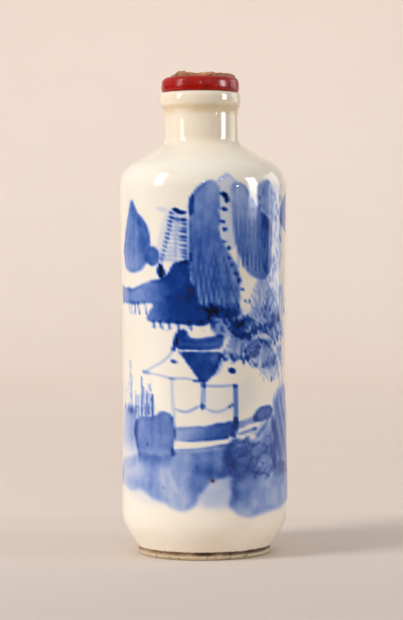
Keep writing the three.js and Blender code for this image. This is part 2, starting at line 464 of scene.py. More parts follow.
def inside_depth(chain, u, z):
    """How deep each spot lies inside a closed chain, below zero outside it."""
    gap = np.full(u.shape, FAR_AWAY)
    inside = np.zeros(u.shape, bool)
    for a, b in zip(chain[:-1], chain[1:]):
        gap = np.minimum(gap, nearest_on(a, b, u, z)[1])
        if a[1] != b[1]:
            crossed = (a[1] > z) != (b[1] > z)
            inside ^= crossed & (u < (b[0] - a[0]) * (z - a[1]) / (b[1] - a[1]) + a[0])
    return np.where(inside, gap, -gap)


def ramp(low, at_low, high, at_high):
    """A function that runs from one value to another between two places."""
    return lambda place: at_low + (at_high - at_low) * smoothstep(low, high, place)


# ---- What is painted ----

def paint_far_hill(sheet):
    """The pale peak at the left, with a dark round rock at its foot."""
    fade = ramp(47.5, 0.8, 53.0, 1.0)
    darker = ramp(-14.0, 0.0, -10.0, 0.25)
    sheet.wash([(-13.9, 59.7), (-13.0, 58.8), (-12.3, 57.8), (-11.2, 56.8), (-10.2, 55.6), (-9.5, 53.8),
                (-9.4, 52.0), (-9.8, 50.2), (-10.6, 49.0), (-12.0, 48.1), (-13.6, 47.6), (-15.6, 47.8),
                (-17.3, 48.8), (-17.9, 51.4), (-17.0, 54.0), (-16.0, 56.2), (-15.1, 58.2), (-14.6, 59.4)],
               0.57, edge=0.3, pool=0.1, streak=0.12, shade=lambda u, z: fade(z) + darker(u))
    sheet.line([(-14.0, 58.6), (-13.5, 57.4), (-12.6, 56.6), (-11.6, 55.6)], 0.13, 1.2, edge=0.4)
    sheet.line([(-11.6, 54.6), (-11.0, 52.8), (-11.0, 50.6)], 0.14, 1.0, edge=0.4)
    bump = [(-10.0, 51.9), (-8.9, 52.1), (-7.9, 51.4), (-7.5, 50.4), (-7.9, 49.4), (-9.0, 48.9),
            (-10.2, 49.3), (-10.8, 50.4)]
    sheet.lift(bump, 0.9)
    sheet.wash(bump, 0.82)


def paint_pagoda(sheet):
    """A faint tower of many tiers behind the bank, with darker touches at the eaves."""
    sheet.wash([(-6.6, 57.4), (-3.0, 57.6), (-2.2, 54.0), (-2.4, 50.0), (-6.6, 49.6), (-8.2, 50.0),
                (-7.6, 53.6)], 0.1, edge=0.5, blotch=0.5)
    tiers = 12
    for i in range(tiers):
        t = i / (tiers - 1)
        height = 57.5 - 7.5 * t
        left = -5.2 - 1.9 * t ** 1.4
        right = -3.0 - 0.2 * math.sin(3 * t)
        sway = sheet.chance.uniform(-0.15, 0.15)
        sheet.line([(left - 0.35, height + 0.12), (left + 0.25, height - 0.1)],
                   (1.0 - 0.45 * t) * sheet.chance.uniform(0.7, 1.1), 0.42, (0.7, 0.5))
        sheet.line([(left + 0.6, height - 0.15), (-4.0, height - 0.2 + sway)], 0.18, 0.36, edge=0.14)
        if i > 0:
            sheet.line([(right - 0.5, height - 0.4 + sway), (right + 0.45, height - 0.5 + sway)],
                       0.95 if i in (1, 4, 5) else 0.65, 0.42, (0.6, 0.6))
    sheet.line([(-4.7, 58.1), (-4.2, 57.9), (-3.7, 57.6), (-3.0, 57.6)], (2.4, 1.6), 0.55, (0.9, 0.8))
    sheet.line([(-4.9, 56.6), (-3.9, 56.4), (-3.3, 56.4)], 0.55, 0.5, (0.8, 0.8))
    sheet.line([(-8.0, 58.3), (-7.0, 58.1), (-6.2, 58.1)], 0.14, 0.7, edge=0.3)
    sheet.line([(-4.2, 57.0), (-4.4, 53.5), (-4.6, 50.2)], 0.16, 0.5, edge=0.15)
    sheet.line([(-2.7, 57.2), (-2.6, 53.5), (-2.7, 50.0)], 0.2, 0.7, edge=0.25)
    sheet.line([(-6.9, 50.6), (-7.2, 49.4), (-7.6, 48.6)], 0.3, 0.7, edge=0.2)
    sheet.wash([(-7.5, 49.1), (-6.8, 48.4), (-6.7, 47.6), (-7.2, 46.9), (-7.7, 47.0), (-8.1, 47.8),
                (-7.9, 48.6)], 2.0, edge=0.16, blotch=0.1)


def paint_mountain(sheet):
    """The tall massif in the middle: two streaked shoulders on either side of a pale stream."""
    down = ramp(60.0, 0.0, 42.0, 0.16)
    faded = ramp(0.0, 0.0, 2.6, 0.28)
    high = ramp(58.0, 0.0, 62.5, 1.0)
    sheet.wash([(-2.1, 58.0), (-1.8, 60.2), (-0.9, 61.4), (0.2, 62.3), (1.4, 62.9), (2.4, 62.6), (2.8, 60.5),
                (2.8, 56.5), (2.9, 53.8), (3.9, 51.8), (5.0, 50.2), (5.9, 48.6), (6.4, 46.6), (6.5, 44.0),
                (6.1, 41.2), (4.4, 40.2), (2.6, 40.2), (1.0, 41.2), (-0.6, 42.4), (-1.6, 45.0), (-2.2, 48.5),
                (-2.2, 53.0)], 0.62, pool=0.04, blotch=0.14, streak=0.16,
               shade=lambda u, z: 0.95 + down(z) - faded(u) * high(z))
    lower = ramp(62.0, 0.75, 51.0, 1.2)
    rightward = ramp(8.0, 1.0, 11.5, 1.15)
    sheet.wash([(4.9, 61.6), (5.5, 62.5), (6.8, 62.2), (7.9, 61.3), (8.8, 59.8), (10.0, 58.4), (11.2, 57.4),
                (12.4, 56.6), (13.4, 55.0), (13.5, 51.4), (13.2, 48.6), (12.2, 47.0), (10.4, 46.6),
                (8.8, 47.0), (7.4, 48.2), (6.5, 49.8), (5.8, 51.6), (5.4, 53.6), (5.0, 57.0), (4.9, 59.6)],
               0.52, edge=0.28, pool=0.04, streak=0.1, shade=lambda u,
               z: lower(z) * rightward(u))
    sheet.wash([(2.6, 62.7), (4.2, 63.5), (5.2, 62.4), (5.2, 60.0), (5.2, 57.0), (5.8, 53.6), (5.2, 51.6),
                (3.6, 52.6), (2.7, 56.0), (2.7, 59.5)], 0.16, edge=0.4)
    for i in range(8):
        start = -1.6 + 0.62 * i
        top = 59.0 - 0.4 * abs(i - 3) + sheet.chance.uniform(-3.0, 0.4)
        foot = 42.0 - 0.1 * i + sheet.chance.uniform(-0.5, 0.5)
        lean = 0.7 + 0.44 * i
        sheet.line([(start, top), (start + 0.05, 54.0), (start + 0.3 * lean, 48.5), (start + lean, foot)],
                   (0.08, 0.4), 0.5, (0.3, 1.0), edge=0.14)
        light = start + 0.48 + 0.02 * i
        sheet.line([(light, 51.0 + sheet.chance.uniform(-2.0, 2.5)), (light + 0.45 * lean, 47.5),
                    (light + lean, 42.8)], (-0.02, -0.32), 0.36, (0.2, 1.0), edge=0.14)
    for i in range(9):
        start = 5.6 + 0.84 * i
        top = 59.4 - 0.4 * i + sheet.chance.uniform(-1.5, 0.5)
        foot = 48.8 - 0.16 * i + sheet.chance.uniform(-0.5, 0.5)
        sheet.line([(start, top), (start + 0.2, 54.5), (start + 0.5, foot)], (0.1, 0.34), 0.42, (0.3, 0.6),
                   edge=0.13)
        sheet.line([(start + 0.45, 53.5 + sheet.chance.uniform(-1.5, 2.0)), (start + 0.65, 51.0),
                    (start + 0.9, foot - 0.2)], (-0.02, -0.13), 0.34, (0.2, 0.6), edge=0.13)
    sheet.line([(-1.9, 57.4), (-1.95, 58.8), (-1.6, 60.3)], (1.1, 0.8), 0.7, (0.6, 0.4), edge=0.2)
    sheet.line([(-1.6, 60.2), (-0.9, 61.3), (0.3, 62.3), (1.6, 62.8)], (0.35, 0.15), 0.55, (0.8, 0.5),
               edge=0.16)
    sheet.line([(-2.0, 57.4), (-2.1, 54.0), (-2.1, 50.4), (-1.7, 46.0)], 0.22, 0.5)
    sheet.line([(2.6, 62.6), (3.5, 63.3), (4.2, 63.8), (4.9, 63.3), (5.6, 62.6)], 0.26, 0.5, edge=0.2)
    sheet.line([(6.4, 62.4), (7.4, 61.6), (8.3, 60.2), (9.2, 58.8), (11.0, 57.6)], (0.2, 0.3), 0.4)


def paint_stream_stones(sheet):
    """Dark touches down the pale stream, from a comma at the top to small stones lower down."""
    sheet.line([(3.4, 60.6), (3.9, 60.2), (4.1, 59.3)], (2.4, 2.0), 0.66, (0.9, 0.5))
    for u, z, size, tone in ((3.6, 58.1, (0.95, 0.6), 1.1), (3.35, 56.05, (0.7, 0.55), 0.9),
                             (3.7, 54.8, (0.6, 0.7), 0.95), (3.7, 52.8, (0.5, 0.4), 0.7),
                             (4.4, 51.7, (0.7, 0.7), 1.0), (4.5, 50.1, 0.45, 0.55),
                             (5.0, 49.0, (0.5, 0.75), 0.5),
                             (5.6, 47.5, (0.65, 0.5), 0.65), (6.2, 46.4, (0.6, 0.8), 0.75),
                             (6.8, 44.9, (0.55, 0.5), 0.85), (7.4, 43.0, 0.45, 0.75)):
        sheet.dot((u, z), 1.35 * tone, size, tilt=-20)


def paint_right_ridge(sheet):
    """The farther ridge at the right: pale at the top, with a dark tuft and dashes down its sides."""
    sheet.wash([(10.2, 62.4), (12.3, 63.0), (13.6, 61.6), (14.0, 58.0), (13.8, 56.0), (12.6, 57.0),
                (11.2, 57.8), (10.0, 58.8), (9.6, 60.0), (9.8, 61.4)], 0.48, edge=0.35, streak=0.15)
    sheet.wash([(10.0, 57.6), (11.0, 58.2), (12.2, 57.6), (13.2, 55.6), (12.4, 53.4), (11.0, 52.6),
                (9.8, 54.0)], 0.2, edge=0.8, blotch=0.3)
    for i in range(9):
        start = 10.8 + 0.32 * i
        top = 57.4 - 0.1 * i + sheet.chance.uniform(-0.5, 0.5)
        sheet.line([(start, top), (start + 0.1, top - 1.6), (start + 0.1, top - 3.2)], (0.34, 0.1), 0.36,
                   (0.6, 0.4))
    sheet.dot((12.5, 62.6), 0.6, (0.55, 0.75))
    for u, z in ((10.2, 59.9), (10.2, 58.6), (14.1, 60.6), (14.3, 59.6), (14.8, 58.6), (15.3, 57.4)):
        sheet.line([(u, z + 0.35), (u + 0.05, z - 0.35)], 0.5, 0.36)
    for i in range(16):
        u = 14.0 + sheet.chance.uniform(-0.4, 1.8)
        z = 58.5 - 0.85 * i + sheet.chance.uniform(-0.4, 0.4)
        sheet.line([(u, z + 0.6), (u + 0.15, z - 0.6)], sheet.chance.uniform(0.2, 0.5), 0.34)
    for i in range(44):
        u = sheet.chance.uniform(10.8, 17.0)
        z = 61.6 - 0.35 * i + sheet.chance.uniform(-0.5, 0.5)
        sheet.line([(u, z + 0.5), (u + 0.1, z - 0.5)], sheet.chance.uniform(0.2, 0.55), 0.34)
    sheet.wash([(14.0, 62.0), (16.5, 61.0), (17.4, 56.0), (17.2, 50.0), (14.2, 48.0), (13.9, 55.0)], 0.16,
               edge=0.6)
    sheet.wash([(20.0, 60.8), (23.4, 60.8), (27.0, 59.0), (28.6, 55.6), (26.8, 53.2), (21.6, 53.4),
                (17.2, 55.4), (16.2, 57.2), (17.6, 59.6)], 0.55, edge=0.3, pool=0.1, streak=0.15)


def paint_bank(sheet):
    """The dark bank below the tower, with a pale spit to its left and grass hanging off its underside."""
    across = ramp(-11.0, 0.44, -4.0, 1.0)
    core = ramp(-4.5, 0.0, -1.5, 0.12)
    sheet.wash([(-19.5, 45.5), (-17.7, 45.3), (-14.0, 45.1), (-11.2, 45.9), (-9.5, 46.4), (-7.4, 46.7),
                (-6.1, 47.4), (-5.0, 49.1), (-4.0, 49.5), (-2.5, 49.6), (-2.1, 47.4), (-1.6, 44.9),
                (-0.8, 42.6), (0.7, 41.9), (1.4, 40.6), (0.7, 39.3), (-2.2, 39.2), (-4.8, 39.4),
                (-7.4, 39.5), (-10.2, 39.9), (-9.9, 41.3), (-9.2, 42.2), (-9.8, 42.6), (-13.2, 42.4),
                (-17.0, 42.6), (-19.5, 42.5)], 1.25, pool=0.03, blotch=0.16, shade=lambda u,
               z: across(u) + core(u))
    sheet.line([(-9.6, 46.2), (-7.5, 46.5), (-6.2, 47.1), (-5.1, 48.8), (-4.6, 49.2)], 0.25, 0.5, edge=0.15)
    sheet.line([(-16.5, 44.9), (-14.0, 44.9), (-11.4, 45.6)], 0.18, 0.4, edge=0.15)
    sheet.line([(-17.0, 42.8), (-13.6, 42.7), (-10.0, 42.8)], 0.14, 0.5, edge=0.2)
    sheet.line([(-6.6, 43.7), (-5.6, 43.6), (-5.2, 43.9)], 0.25, 0.5)
    sheet.line([(0.9, 42.0), (1.3, 41.2), (0.9, 40.2), (-0.2, 39.5)], 0.2, 0.6, edge=0.2)
    for u, z, length in ((-2.1, 50.3, 1.2), (-3.0, 49.5, 0.7), (-3.7, 49.3, 0.6), (-2.5, 49.4, 0.9)):
        sheet.line([(u, z + length / 2), (u + 0.12, z - length / 2)], 0.55, 0.42, (0.7, 0.7))
    for u, tone in ((-15.6, 0.4), (-14.7, 0.45), (-13.6, 0.7), (-12.5, 0.75), (-10.7, 0.6)):
        sheet.line([(u - 0.15, 42.9), (u, 41.8), (u + 0.2, 40.9)], (tone * 0.6, tone), 0.36, (0.4, 0.9))
    for u, length in ((-8.9, 1.1), (-7.5, 1.2), (-5.9, 1.3), (-4.3, 1.6), (-2.3, 1.4)):
        sheet.line([(u - 0.2, 39.8), (u, 39.4), (u + 0.25, 39.8 - length)], 0.7, 0.5, (0.5, 0.8))
    sheet.line([(-1.1, 39.2), (-0.6, 39.3), (-0.1, 39.9)], 0.6, 0.55)
    for u, z in ((-0.2, 38.2), (-9.4, 38.8), (-6.6, 38.2)):
        sheet.line([(u, z + 0.15), (u + 0.5, z)], 0.2, 0.3)


def paint_scrub(sheet):
    """The dark dashes where the massif meets the trees."""
    sheet.wash([(0.9, 41.4), (2.6, 41.6), (4.4, 41.8), (6.4, 41.0), (7.4, 39.6), (7.4, 38.2), (5.6, 37.4),
                (3.8, 37.0), (2.4, 37.4), (1.4, 38.8)], 0.5, edge=0.4, blotch=0.5)
    for i in range(34):
        u = sheet.chance.uniform(0.9, 8.6)
        z = 40.6 - 0.28 * (u - 1) + sheet.chance.uniform(-2.0, 1.7)
        turn = math.radians(sheet.chance.uniform(-75, -35) if i % 3 else sheet.chance.uniform(20, 60))
        du, dz = 0.5 * math.cos(turn), 0.5 * math.sin(turn)
        sheet.line([(u - du, z - dz), (u + du, z + dz)], sheet.chance.uniform(0.3, 0.9), 0.4, (0.4, 0.8))
    for u, z, turn in ((1.4, 42.2, -60), (2.2, 41.7, -65), (3.0, 41.9, -45), (4.6, 40.0, 30), (5.4, 39.6, 45),
                       (3.2, 38.4, -70), (6.2, 38.9, 30)):
        du, dz = 0.5 * math.cos(math.radians(turn)), 0.5 * math.sin(math.radians(turn))
        sheet.line([(u - du, z - dz), (u + du, z + dz)], 0.55, 0.45, (0.5, 0.8))


def paint_fan(sheet, centre, reach, first, last, needles, tone=0.24, tips=0.6, start=0.25):
    """A spray of pine needles from one centre. Angles are in degrees, 0 to the right and -90 down."""
    for i in range(needles):
        angle = math.radians(first + (last - first) * (i + sheet.chance.uniform(-0.3, 0.3)) / (needles - 1))
        length = reach * sheet.chance.uniform(0.88, 1.05)
        du, dz = math.cos(angle), math.sin(angle)
        inner, middle, outer = start * length, 0.7 * length, length
        sheet.line([(centre[0] + du * inner, centre[1] + dz * inner),
                    (centre[0] + du * middle, centre[1] + dz * middle - 0.05 * length),
                    (centre[0] + du * outer, centre[1] + dz * outer - 0.12 * length)],
                   (tone * 0.7, tone * 1.2), 0.27, (0.5, 0.8), edge=0.08)
        if sheet.chance.random() < tips:
            tip = (centre[0] + du * outer, centre[1] + dz * outer - 0.1 * length)
            sheet.line([(tip[0] - du * 0.45, tip[1] - dz * 0.45 + 0.1), tip], 0.6, 0.38, (0.6, 0.9))


def paint_pines(sheet):
    """Two pines that lean in from the right, with sprays of needles and one pale trunk."""
    sheet.wash([(4.2, 38.4), (6.4, 41.8), (8.4, 41.4), (9.6, 45.4), (11.6, 48.4), (16.8, 49.4), (18.4, 43.0),
                (17.6, 36.0), (15.4, 31.0), (11.8, 31.0), (8.6, 33.4), (6.0, 34.2), (4.4, 35.0)], 0.12,
               edge=0.9, blotch=0.6)
    for centre, reach, first, last, needles, tone, tips in (
            ((10.9, 48.0), 6.0, -120, -52, 12, 0.34, 0.3), ((13.6, 46.8), 7.4, -120, -70, 11, 0.34, 0.3),
            ((16.4, 47.0), 6.6, -125, -60, 10, 0.34, 0.2), ((10.6, 43.0), 5.0, -140, -40, 15, 0.38, 0.4),
            ((14.8, 41.8), 5.4, -130, -50, 13, 0.36, 0.4), ((7.4, 40.6), 3.4, -150, -25, 14, 0.4, 0.6),
            ((12.6, 39.8), 4.2, -150, -30, 13, 0.38, 0.4), ((5.9, 38.9), 5.5, -122, -34, 17, 0.46, 0.9),
            ((11.4, 37.8), 5.6, -150, -46, 20, 0.4, 0.5), ((13.4, 34.6), 4.6, -140, -62, 11, 0.3, 0.15),
            ((16.4, 36.4), 4.4, -130, -70, 9, 0.34, 0.1)):
        paint_fan(sheet, centre, reach, first, last, needles, tone, tips)
    for u, z in ((6.9, 37.3), (7.6, 37.1), (8.2, 37.0), (8.9, 37.6), (9.3, 38.1), (4.7, 33.9), (5.7, 33.8)):
        sheet.line([(u - 0.15, z + 0.6), (u + 0.1, z - 0.5)], 0.5, 0.42, (0.5, 0.9))
    sheet.lift([(9.6, 36.5), (11.0, 36.8), (12.6, 36.0), (14.2, 34.2), (15.8, 31.6), (16.8, 28.0),
                (17.6, 28.0), (16.7, 31.8), (15.0, 34.8), (13.1, 36.8), (11.2, 37.6), (9.6, 37.2)], 0.5,
               edge=0.2)
    sheet.line([(9.2, 36.3), (10.4, 36.5), (12.2, 35.8), (13.8, 34.2), (15.4, 31.6), (16.5, 28.0)], 0.4, 0.3)
    sheet.line([(9.6, 37.4), (11.2, 37.8), (13.2, 36.9), (15.2, 34.8), (16.9, 31.8), (17.8, 28.0)], 0.34,
               0.3)


def paint_pavilion(sheet):
    """An open pavilion on posts: a dark ridge over a dark gable, drawn in a few lines."""
    sheet.wash([(-4.6, 37.7), (-3.8, 38.4), (-2.7, 38.2), (-2.1, 37.3), (-1.0, 37.0), (1.6, 37.2),
                (3.0, 37.5), (3.5, 36.8), (3.0, 35.6), (1.4, 35.2), (-2.0, 35.1), (-4.3, 35.3),
                (-4.9, 36.6)], 0.9, edge=0.18, pool=0.14, blotch=0.15, shade=lambda u,
               z: ramp(-4.6, 1.2, -1.0, 0.95)(u))
    sheet.line([(-3.0, 38.9), (-3.2, 38.2), (-3.3, 36.4)], (0.2, 0.3), 0.5)
    sheet.line([(-3.6, 36.6), (-1.0, 36.3), (2.0, 36.6)], 0.16, 0.5, edge=0.2)
    sheet.line([(-4.3, 35.5), (-2.4, 35.4), (0.6, 35.2), (2.0, 35.4)], 0.24, 0.36)
    sheet.line([(-4.5, 36.9), (-4.8, 36.2), (-5.1, 35.2)], 1.25, 0.62, (0.6, 1.0))
    sheet.line([(-5.1, 35.3), (-5.7, 34.3), (-7.0, 33.2), (-8.8, 32.3), (-10.8, 31.4)], (0.34, 0.22), 0.4,
               (0.7, 0.8))
    sheet.line([(-11.4, 31.3), (-10.6, 31.2), (-9.8, 31.2)], (0.55, 0.3), 0.55, (0.8, 0.5))
    sheet.line([(-10.2, 31.1), (-8.0, 30.9), (-5.6, 30.4), (-3.0, 30.4), (-1.2, 30.0)], (0.2, 0.34), 0.36)
    sheet.line([(-5.9, 30.4), (-4.9, 30.3)], 0.28, 0.36)
    sheet.line([(-1.6, 30.0), (-0.4, 30.0)], 0.9, 0.42)
    sheet.line([(-4.3, 34.9), (-3.4, 34.0)], 0.5, 0.36)
    sheet.wash([(-3.4, 34.8), (0.0, 34.7), (2.6, 34.6), (2.9, 34.0), (2.5, 32.6), (1.7, 31.2), (0.5, 29.8),
                (-0.6, 29.9), (-1.5, 31.1), (-2.6, 32.8), (-3.5, 34.2)], 1.15, edge=0.16, pool=0.04,
               blotch=0.14)
    sheet.lift([(1.5, 34.3), (2.5, 34.3), (2.4, 33.0), (1.6, 32.6), (1.2, 33.4)], 0.3, edge=0.2)
    sheet.wash([(2.6, 34.4), (3.6, 34.6), (3.2, 32.6), (2.0, 30.8), (1.6, 31.6)], 0.26, edge=0.4)
    sheet.line([(2.9, 34.0), (3.3, 34.2), (3.5, 34.5)], 0.75, 0.4)
    sheet.dot((0.05, 29.3), 0.95, (0.8, 0.95), tilt=40)
    sheet.dot((-5.05, 33.15), 1.1, (1.05, 0.6), tilt=-15)
    sheet.dot((4.85, 31.6), 1.75, (1.15, 0.9), tilt=-25)
    sheet.line([(0.4, 29.2), (2.6, 29.1), (4.9, 29.2)], 0.36, 0.42)
    sheet.wash([(4.9, 29.5), (5.9, 29.5), (5.9, 28.7), (4.9, 28.7)], 0.8, edge=0.12, rounded=False)
    sheet.line([(-5.45, 30.2), (-5.3, 27.0), (-5.05, 23.9)], 0.22, 0.55, (0.9, 0.9), edge=0.14)
    sheet.line([(0.0, 28.9), (-0.1, 26.6)], 0.5, 0.55, (1.0, 1.0))
    sheet.wash([(0.6, 28.8), (5.0, 28.8), (8.4, 30.4), (9.6, 27.6), (7.0, 24.6), (2.0, 24.0), (0.6, 24.4)],
               0.05, edge=0.8)
    sheet.dot((-0.15, 25.8), 1.1, (0.62, 1.15), tilt=0)
    sheet.line([(5.4, 28.9), (5.5, 26.0), (5.5, 23.2)], 0.62, 0.72, (1.0, 1.0), edge=0.12)
    sheet.line([(5.5, 23.6), (5.4, 22.4), (5.1, 20.8)], 1.0, 0.85, (0.9, 0.7), edge=0.12)
    sheet.line([(-4.8, 25.3), (-3.4, 24.9), (-2.2, 25.1), (-0.7, 25.9)], (0.3, 0.5), 0.42)
    sheet.line([(0.5, 25.4), (1.8, 24.9), (3.2, 25.1), (4.4, 25.8)], 0.26, 0.4)
    sheet.line([(4.2, 25.5), (5.0, 26.1)], 0.75, 0.4)


def paint_terrace(sheet):
    """The terrace that the pavilion stands on, a bare strip under it, and a rock at its right."""
    along = ramp(-5.0, 0.42, 3.5, 1.0)
    sheet.wash([(-4.9, 22.4), (-2.5, 22.5), (0.0, 22.6), (2.2, 23.0), (3.8, 23.0), (4.9, 23.3), (4.8, 20.9),
                (3.2, 20.5), (1.0, 20.3), (-2.0, 20.1), (-4.9, 20.2)], 0.84, edge=0.18, blotch=0.15,
               shade=lambda u, z: along(u), rounded=False)
    sheet.line([(-4.8, 22.2), (-1.6, 22.3), (1.0, 22.6), (3.6, 22.9)], (0.15, 0.2), 0.34)
    sheet.line([(-4.8, 20.2), (-2.0, 20.1), (1.5, 20.3), (4.0, 20.6)], (0.3, 0.4), 0.36)
    sheet.dot((4.1, 23.1), 0.5, (0.85, 0.5), tilt=25)
    sheet.dot((3.8, 20.6), 0.5, (0.8, 0.5), tilt=15)
    sheet.wash([(5.2, 22.9), (7.6, 23.4), (9.4, 24.0), (9.6, 23.0), (7.6, 22.5), (5.4, 22.0)], 0.5, edge=0.3)
    sheet.line([(5.8, 23.0), (7.6, 23.5), (9.4, 24.1)], 0.2, 0.36)
    sheet.line([(6.0, 21.1), (7.6, 21.5), (9.4, 21.9)], 0.6, 0.5, (0.5, 0.9), edge=0.15)
    sheet.wash([(8.8, 23.8), (9.5, 24.9), (11.2, 25.5), (12.9, 25.4), (13.3, 24.4), (12.6, 23.4),
                (10.6, 23.1), (9.1, 23.1)], 0.82, edge=0.16, pool=0.2)
    sheet.line([(-5.1, 18.6), (-2.2, 18.7), (0.6, 19.0), (2.6, 19.3), (4.8, 19.5)], (0.3, 0.6), 0.36)
    sheet.dot((4.7, 19.5), 0.6, (1.0, 0.55))
    sheet.dot((-5.3, 18.2), 1.0, (0.6, 1.3), tilt=8)


def paint_left_rock(sheet):
    """The rounded rock at the left, wet at its foot."""
    into_water = ramp(15.0, 0.0, 19.5, 1.0)
    sheet.wash([(-12.5, 23.7), (-10.6, 24.0), (-9.0, 24.0), (-7.8, 24.8), (-6.6, 24.9), (-5.5, 24.3),
                (-5.0, 22.8), (-4.9, 21.4), (-5.2, 19.6), (-5.5, 17.8), (-5.8, 15.0), (-9.2, 14.0),
                (-12.2, 15.0), (-13.2, 18.8), (-13.9, 20.8), (-13.7, 22.6)], 0.64, edge=0.22, pool=0.14,
               blotch=0.1, streak=0.1, shade=lambda u, z: into_water(z))
    sheet.line([(-5.6, 24.1), (-5.0, 22.8), (-4.95, 21.2), (-5.3, 19.4), (-5.6, 18.4)], 0.28, 0.45)
    sheet.line([(-13.5, 23.0), (-13.6, 21.4), (-13.1, 19.2), (-12.2, 17.4)], 0.1, 0.9, edge=0.3)
    sheet.line([(-8.0, 24.4), (-7.8, 22.8), (-7.6, 21.0)], 0.1, 0.6, edge=0.3)
    sheet.wash([(-18.6, 25.4), (-14.6, 25.0), (-13.2, 23.8), (-13.2, 19.0), (-12.6, 16.6), (-15.0, 15.0),
                (-17.8, 15.4), (-20.0, 20.0)], 0.4, edge=0.6, streak=0.15,
               shade=lambda u, z: ramp(-18.5, 0.6, -15.0, 1.0)(u) * ramp(17.0, 0.3, 20.5, 1.0)(z))


def paint_water(sheet):
    """The broad wash of water under everything, with a scalloped lower edge and two darker runs."""
    shore = ramp(-15.5, 0.55, -9.0, 1.0)
    deep = ramp(-6.0, 0.0, 1.0, 0.3)
    thin = ramp(8.5, 0.72, 12.5, 1.0)
    sheet.wash([(-20.0, 16.0), (-17.0, 16.6), (-13.0, 17.6), (-10.0, 17.6), (-5.6, 17.8), (-4.8, 18.5),
                (0.6, 18.7), (4.0, 19.2), (5.0, 16.0), (3.2, 14.6), (1.0, 13.4), (-0.4, 11.6), (-1.2, 10.6),
                (-1.8, 9.4), (-3.4, 8.5), (-5.4, 8.9), (-7.2, 9.7), (-8.6, 10.2), (-10.4, 10.9),
                (-12.0, 11.6), (-14.4, 11.4), (-17.0, 11.8), (-20.0, 12.2)], 0.42, edge=0.55, blotch=0.14,
               streak=0.16, shade=lambda u, z: (shore(u) + deep(u)) * thin(z))
    sheet.wash([(-16.0, 14.6), (-12.0, 13.4), (-8.0, 11.8), (-7.4, 10.0), (-10.4, 9.4), (-14.0, 10.2),
                (-17.0, 12.0)], 0.1, edge=1.2, blotch=0.2)
    sheet.wash([(-1.9, 17.8), (1.0, 18.4), (4.0, 18.8), (4.6, 16.6), (2.6, 15.0), (0.2, 14.2), (-1.4, 15.0)],
               0.2, edge=0.8, blotch=0.2)
    sheet.line([(-1.2, 15.8), (-1.8, 13.0), (-1.7, 10.2), (-2.6, 9.2)], 0.2, 1.3, edge=0.5)
    sheet.line([(-9.6, 16.4), (-9.4, 14.2), (-9.8, 12.2)], 0.1, 1.2, edge=0.5)
    sheet.line([(-6.8, 16.0), (-5.6, 13.6), (-4.4, 11.4)], -0.12, 0.8, edge=0.4)
    sheet.lift([(-8.2, 15.8), (-7.2, 15.6), (-6.0, 12.8), (-5.6, 10.6), (-6.6, 10.8), (-7.6, 13.2)], 0.25,
               edge=0.6)
    sheet.wash([(-0.6, 14.8), (3.2, 15.2), (5.4, 13.8), (5.8, 10.8), (4.4, 9.2), (1.6, 9.0), (-0.8, 9.8)],
               0.26, edge=0.9, blotch=0.2, shade=lambda u, z: thin(z))
    far = ramp(9.0, 0.9, 14.0, 1.1)
    sheet.wash([(5.0, 16.0), (8.4, 15.9), (12.0, 15.6), (16.0, 15.9), (20.0, 15.0), (21.4, 11.6),
                (20.0, 9.2), (16.4, 8.4), (13.2, 8.0), (10.2, 7.7), (7.6, 7.2), (5.6, 7.9), (4.2, 9.4),
                (4.6, 11.4)], 0.44, edge=0.5, pool=0.04, blotch=0.25, streak=0.06, shade=lambda u, z: far(z))
    sheet.wash([(4.6, 14.8), (8.4, 14.6), (9.0, 12.0), (8.0, 9.8), (5.6, 9.2), (4.4, 10.6)], 0.12, edge=1.4)


